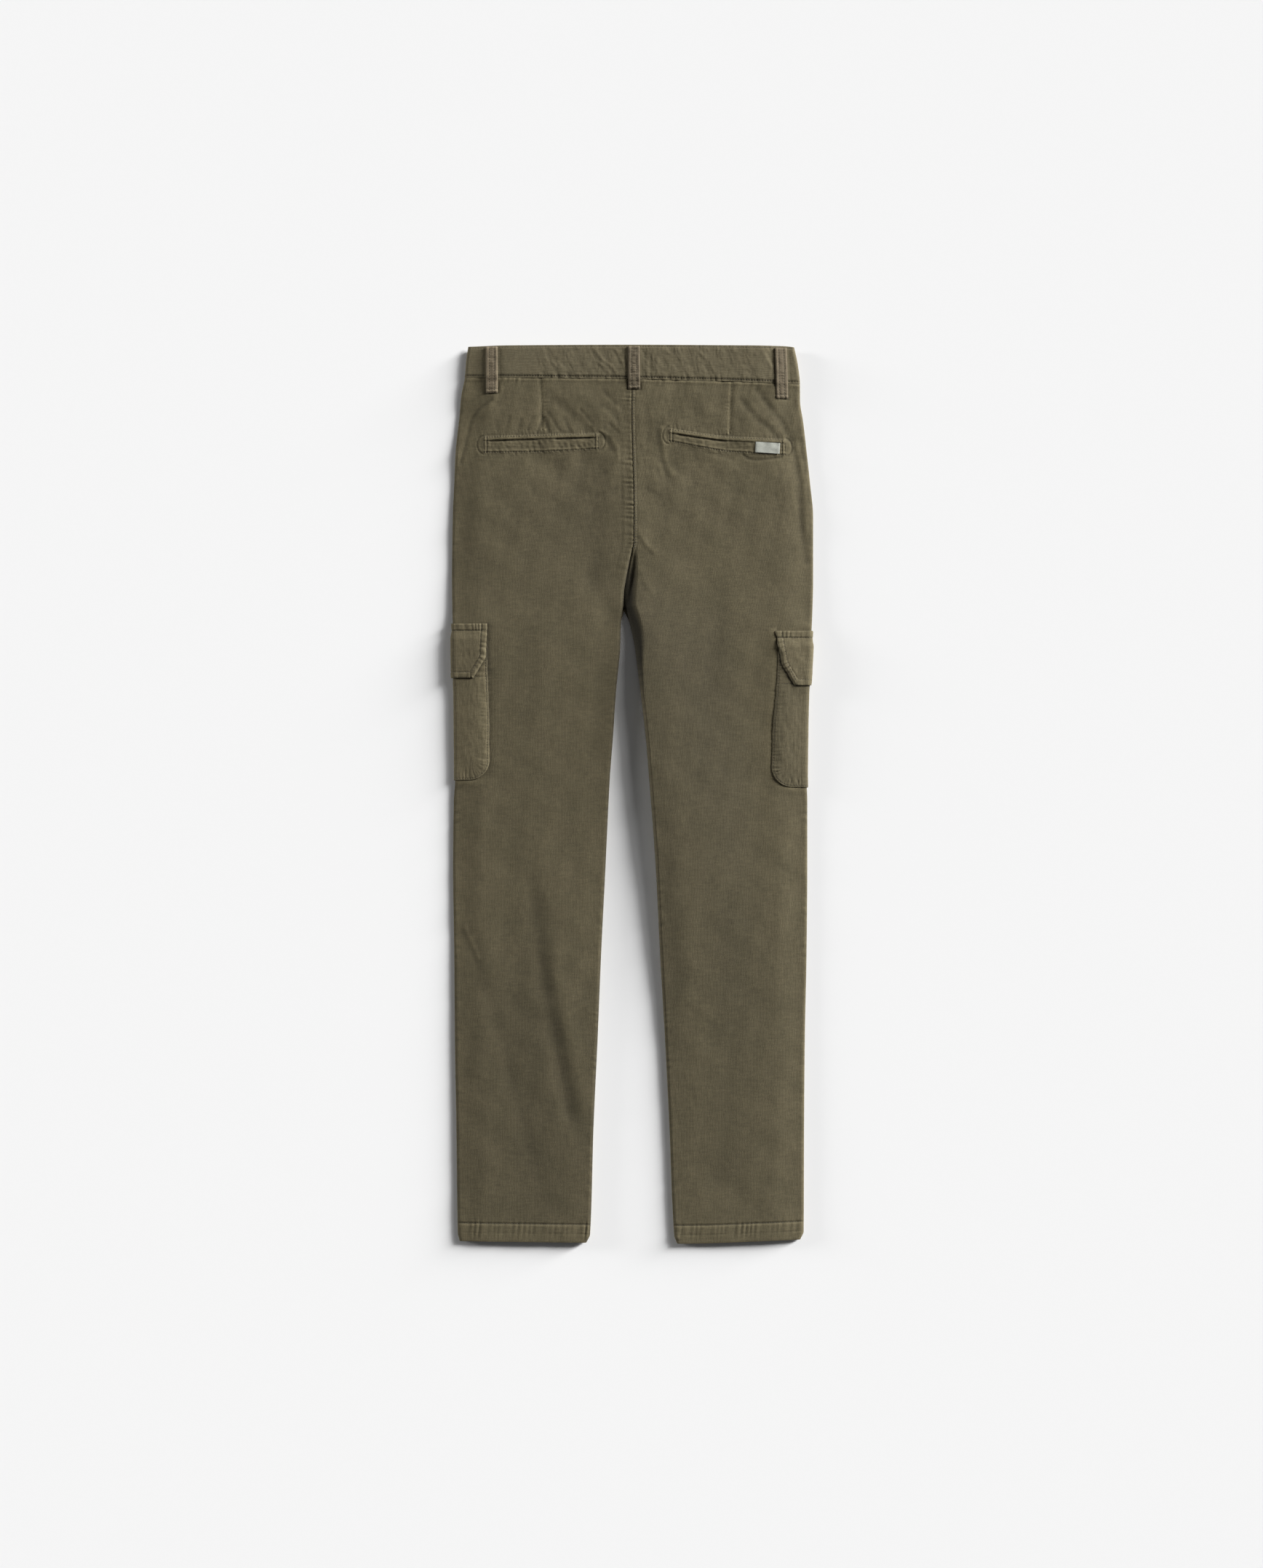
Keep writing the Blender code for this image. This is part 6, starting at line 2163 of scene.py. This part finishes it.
@dataclass
class Fly:
    """The fly on the front: a strip that curves in to the centre seam."""

    width: float = 30.0
    lap: float = 2.0
    straight_end: float = 95.0
    end: float = 126.0
    tip: float = 7.0
    rows: int = 90
    curve_rows: int = 30
    columns: int = 30

    def build(self, finish: Finish) -> None:
        """Build the fly.

        Its width is even, then narrows as a quarter of an ellipse.
        """
        turn = np.linspace(0, QUARTER, self.curve_rows + 1)[1:]
        rows = np.linspace(WAIST_SEAM + 1.0, self.straight_end, self.rows - self.curve_rows + 1)
        curve = self.straight_end + (self.end - self.straight_end) * np.sin(turn)
        drop = np.concatenate([rows, curve])[:, None]
        share, drop = np.broadcast_arrays(np.linspace(0, 1, self.columns + 1), drop)
        down = np.clip((drop - self.straight_end) / (self.end - self.straight_end), 0, 1)
        width = self.tip + (self.width - self.tip) * np.sqrt(1 - down**2)
        x = SEAT_SEAM(drop) + self.lap - share * width
        inner = LEGS[Side.LEFT].floor(x, drop) - SEAM_GAP
        off = np.minimum(share, 1 - share) * self.width
        ridge = 0.35 * bell(off, 0.7) + 0.25 * bell((1 - share) * self.width - 4.0, 0.6)
        outer = spot(x, drop, np.maximum(inner - FLY_CLOTH + ridge, 0.0))
        tone = wear_and_groove_shade(inner - outer[..., 2], 3)
        wall = Wall(outer, inner, np.stack([x, drop], axis=-1), tone)
        wall.lay("fly", wall.inner, "floor", finish)


# Radius and height of the button's face, edge and back, from the middle out.
BUTTON_RINGS = (
    (4.6, 0.55), (5.4, 0.30), (6.2, 0.04), (7.0, 0.0), (7.8, 0.12), (8.3, 0.5), (8.5, 1.1), (8.3, 1.8),
    (7.7, 2.3),
)


@dataclass
class Button:
    """The waist button: a turned disc with a dished face."""

    centre: tuple[float, float] = (3.0, 20.0)
    around: int = 64

    def build(self, finish: Finish) -> None:
        """Turn the button's profile round its axis, face down."""
        count = self.around
        turn = np.arange(count) / count * TURN
        x0, drop0 = self.centre
        rings = np.array(BUTTON_RINGS)
        radius, height = rings[:, :1], rings[:, 1:]
        x = x0 + radius * np.cos(turn)
        points = spot(x, drop0 - radius * np.sin(turn), np.broadcast_to(height, x.shape)).reshape(-1, 3)
        ends = spot(np.full(2, x0), np.full(2, drop0), rings[[0, -1], 1])
        points = np.concatenate([points, ends])
        ring = np.arange(count)
        after = np.roll(ring, -1)
        low = np.arange(len(rings) - 1)[:, None] * count
        high = low + count
        quads = np.stack([low + ring, high + ring, high + after, low + after], axis=-1).reshape(-1, 4)
        last = high[-1]
        front = np.stack([np.full(count, len(points) - 2), ring, after], axis=-1)
        back = np.stack([last + after, last + ring, np.full(count, len(points) - 1)], axis=-1)
        faces = quads.tolist() + front.tolist() + back.tolist()
        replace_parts(make_piece("waist_button_disc", points, faces, finish), "waist_button")


# --- the trousers


class Finishes:
    """The materials with their slots, made once."""

    def __init__(self) -> None:
        """Build every material."""

        def cloth(name: str, *colours: Colour) -> Finish:
            """Corduroy of its own pile and warm colour."""
            return Finish(Slot.CORDUROY, Corduroy(f"corduroy_{name}", *colours).material())

        # Painted light: the right leg and the right pocket get lighter copies of the corduroy than the left
        # ones, as the light falls from the right.
        right = cloth("right_leg_lit", (0.1023, 0.0872, 0.0488), (0.1086, 0.0899, 0.0520))
        self.leg = {Side.LEFT: cloth("left_leg"), Side.RIGHT: right}
        self.band = cloth("band", (0.1296, 0.1114, 0.0666))
        self.pocket = {
            Side.LEFT: cloth("left_pocket", (0.1096, 0.0931, 0.0530)),
            Side.RIGHT: cloth("right_pocket_lit", (0.1242, 0.1068, 0.0621)),
        }
        self.loop = cloth("loops", (0.1278, 0.1068, 0.0676), (0.1369, 0.1068, 0.0712))
        thread = Thread("sewing_thread", (0.045, 0.037, 0.022))
        self.thread = Finish(Slot.CORDUROY, thread.material())
        self.tape = Finish(Slot.LABEL, WovenTape("label_tape").material())
        self.horn = Finish(Slot.BUTTON, Horn("button_horn").material())


class Trousers:
    """Builds the pieces in order, from the front on the floor to the label."""

    def __init__(self) -> None:
        """Make the finishes."""
        self.finishes = Finishes()

    def stitch(self, piece: str, lines: Sequence[Path], outward: Callable = upward) -> None:
        """Sew the lines of a piece."""
        sew(f"stitches_{piece}", lines, self.finishes.thread, outward)

    def build(self) -> None:
        """Build everything."""
        self.build_legs()
        self.build_waist()
        self.build_pockets()
        self.build_small()

    def build_legs(self) -> None:
        """The four panels and their sewing."""
        for side, leg in LEGS.items():
            front = Panel(leg, Facing.FRONT, rows=300, flat_columns=56, arc_columns=6, inner_columns=6)
            back = Panel(leg)
            for panel in (front, back):
                panel.build(self.finishes.leg[side])
            self.stitch(f"back_{side.value}", back.sewing())

    def build_waist(self) -> None:
        """The waistband's three stretches, with sewing along both edges."""
        joint = 16.0
        back = Waistband("waistband_back", Facing.BACK, None, None, 528, 64)
        left = Waistband("waistband_front_left", Facing.FRONT, None, joint - HALF_GAP, 152, 24)
        right = Waistband("waistband_front_right", Facing.FRONT, joint + HALF_GAP, None, 120, 24)
        for band in (back, left, right):
            band.build(self.finishes.band)
        self.stitch("waistband", back.sewing())

    def build_pockets(self) -> None:
        """Pouches, flaps and welts of both sides, and the label."""
        for side, leg in LEGS.items():
            pouch = Pouch(leg)
            pouch.build(f"back_panel_{side.value} front_panel_{side.value}", self.finishes.pocket[side])
            flap = Flap(leg)
            flap.build(f"cargo_pouch_{side.value}", self.finishes.pocket[side])
            self.stitch(f"cargo_{side.value}", pouch.sewing() + flap.sewing(), flap.outward)
            welt = Welt(Panel(leg))
            welt.build(self.finishes.leg[side])
            self.stitch(f"welt_{side.value}", welt.sewing())
        Label().build(welt, self.finishes.tape)

    def build_small(self) -> None:
        """Belt loops, fly and button."""
        for place in BACK_LOOPS:
            loop = BeltLoop(place)
            loop.build(self.finishes.loop)
            self.stitch(place.name, loop.sewing())
        for place in FRONT_LOOPS:
            BeltLoop(place, Facing.FRONT, rows=40, columns=12).build(self.finishes.loop)
        Fly().build(self.finishes.leg[Side.LEFT])
        Button().build(self.finishes.horn)


# --- studio


class Lamp(NamedTuple):
    """A sun: its share of the light on the floor, height, way and softness."""

    name: str
    share: float
    rise: float
    turn: float
    softness: float


LAMPS = (
    Lamp("key", 0.56, 21.5, 28.0, 16.0),
    Lamp("high_key", 0.11, 33.0, 32.0, 14.0),
    Lamp("low_key", 0.18, 8.5, 28.0, 14.0),
    Lamp("fill", 0.09, 8.0, 166.0, 12.0),
)


@dataclass(frozen=True)
class Studio:
    """A pale floor, soft light from the right and a camera that looks down.

    Attributes:
        frame_height: height of the picture on the floor, in metres.
        centre: middle of the picture on the floor.
        lens: focal length, in millimetres.
        sensor: longer side of the sensor, in millimetres.
        subject_height: height at which the picture has its scale.
        floor_half: half the floor's width.
        floor_drop: how far the floor lies under the garment.
        floor_colour: its colour.
        sky: strength of the white sky.
    """

    frame_height: float = 1.5085
    centre: tuple[float, float] = (-0.0007, 0.01005)
    lens: float = 85.0
    sensor: float = 36.0
    subject_height: float = 0.007
    floor_half: float = 4.0
    floor_drop: float = 0.0002
    floor_colour: Colour = (0.90, 0.90, 0.90)
    sky: float = 0.08

    def build(self) -> None:
        """Build floor, lights and camera."""
        self.build_floor()
        self.build_light()
        self.build_camera()

    def place(self, name: str, data: bpy.types.ID) -> bpy.types.Object:
        """Put an object with this data in the scene."""
        placed = bpy.data.objects.new(name, data)
        bpy.context.scene.collection.objects.link(placed)
        return placed

    def build_floor(self) -> None:
        """A wide pale floor just under the garment."""
        half = self.floor_half
        mesh = bpy.data.meshes.new("floor")
        corners = [(-half, -half), (half, -half), (half, half), (-half, half)]
        mesh.from_pydata([(x, y, -self.floor_drop) for x, y in corners], [], [(0, 1, 2, 3)])
        floor = self.place("floor", mesh)
        nodes = Nodes("studio_floor")
        colour = opaque(self.floor_colour)
        mesh.materials.append(nodes.dress(Base_Color=colour, Roughness=0.95, Specular_IOR_Level=0.0))

    def build_light(self) -> None:
        """Soft suns, three from the right and a weak one from the left, and a white sky."""
        for lamp in LAMPS:
            sun = bpy.data.lights.new(lamp.name, "SUN")
            rise = math.radians(lamp.rise)
            turn = math.radians(lamp.turn)
            sun.energy = lamp.share * math.pi / math.sin(rise)
            sun.angle = math.radians(lamp.softness)
            across = math.cos(rise)
            towards = Vector((across * math.cos(turn), across * math.sin(turn), math.sin(rise)))
            self.place(lamp.name, sun).rotation_euler = towards.to_track_quat("Z", "Y").to_euler()
        world = bpy.data.worlds.new("studio")
        world.use_nodes = True
        background = world.node_tree.nodes["Background"]
        background.inputs["Color"].default_value = (1.0, 1.0, 1.0, 1.0)
        background.inputs["Strength"].default_value = self.sky
        bpy.context.scene.world = world
        bpy.context.scene.view_settings.view_transform = "Standard"

    def build_camera(self) -> None:
        """A long lens straight above the garment."""
        camera = bpy.data.cameras.new("camera")
        camera.lens = self.lens
        camera.sensor_width = self.sensor
        camera.sensor_fit = "AUTO"
        camera.clip_end = 50.0
        distance = self.frame_height * self.lens / self.sensor
        view = self.place("camera", camera)
        view.location = (*self.centre, self.subject_height + distance)
        bpy.context.scene.camera = view


def main() -> None:
    """Build the trousers and the studio."""
    logging.basicConfig(level=logging.INFO, format="%(message)s")
    Studio().build()
    Trousers().build()


if __name__ == "__main__":
    main()
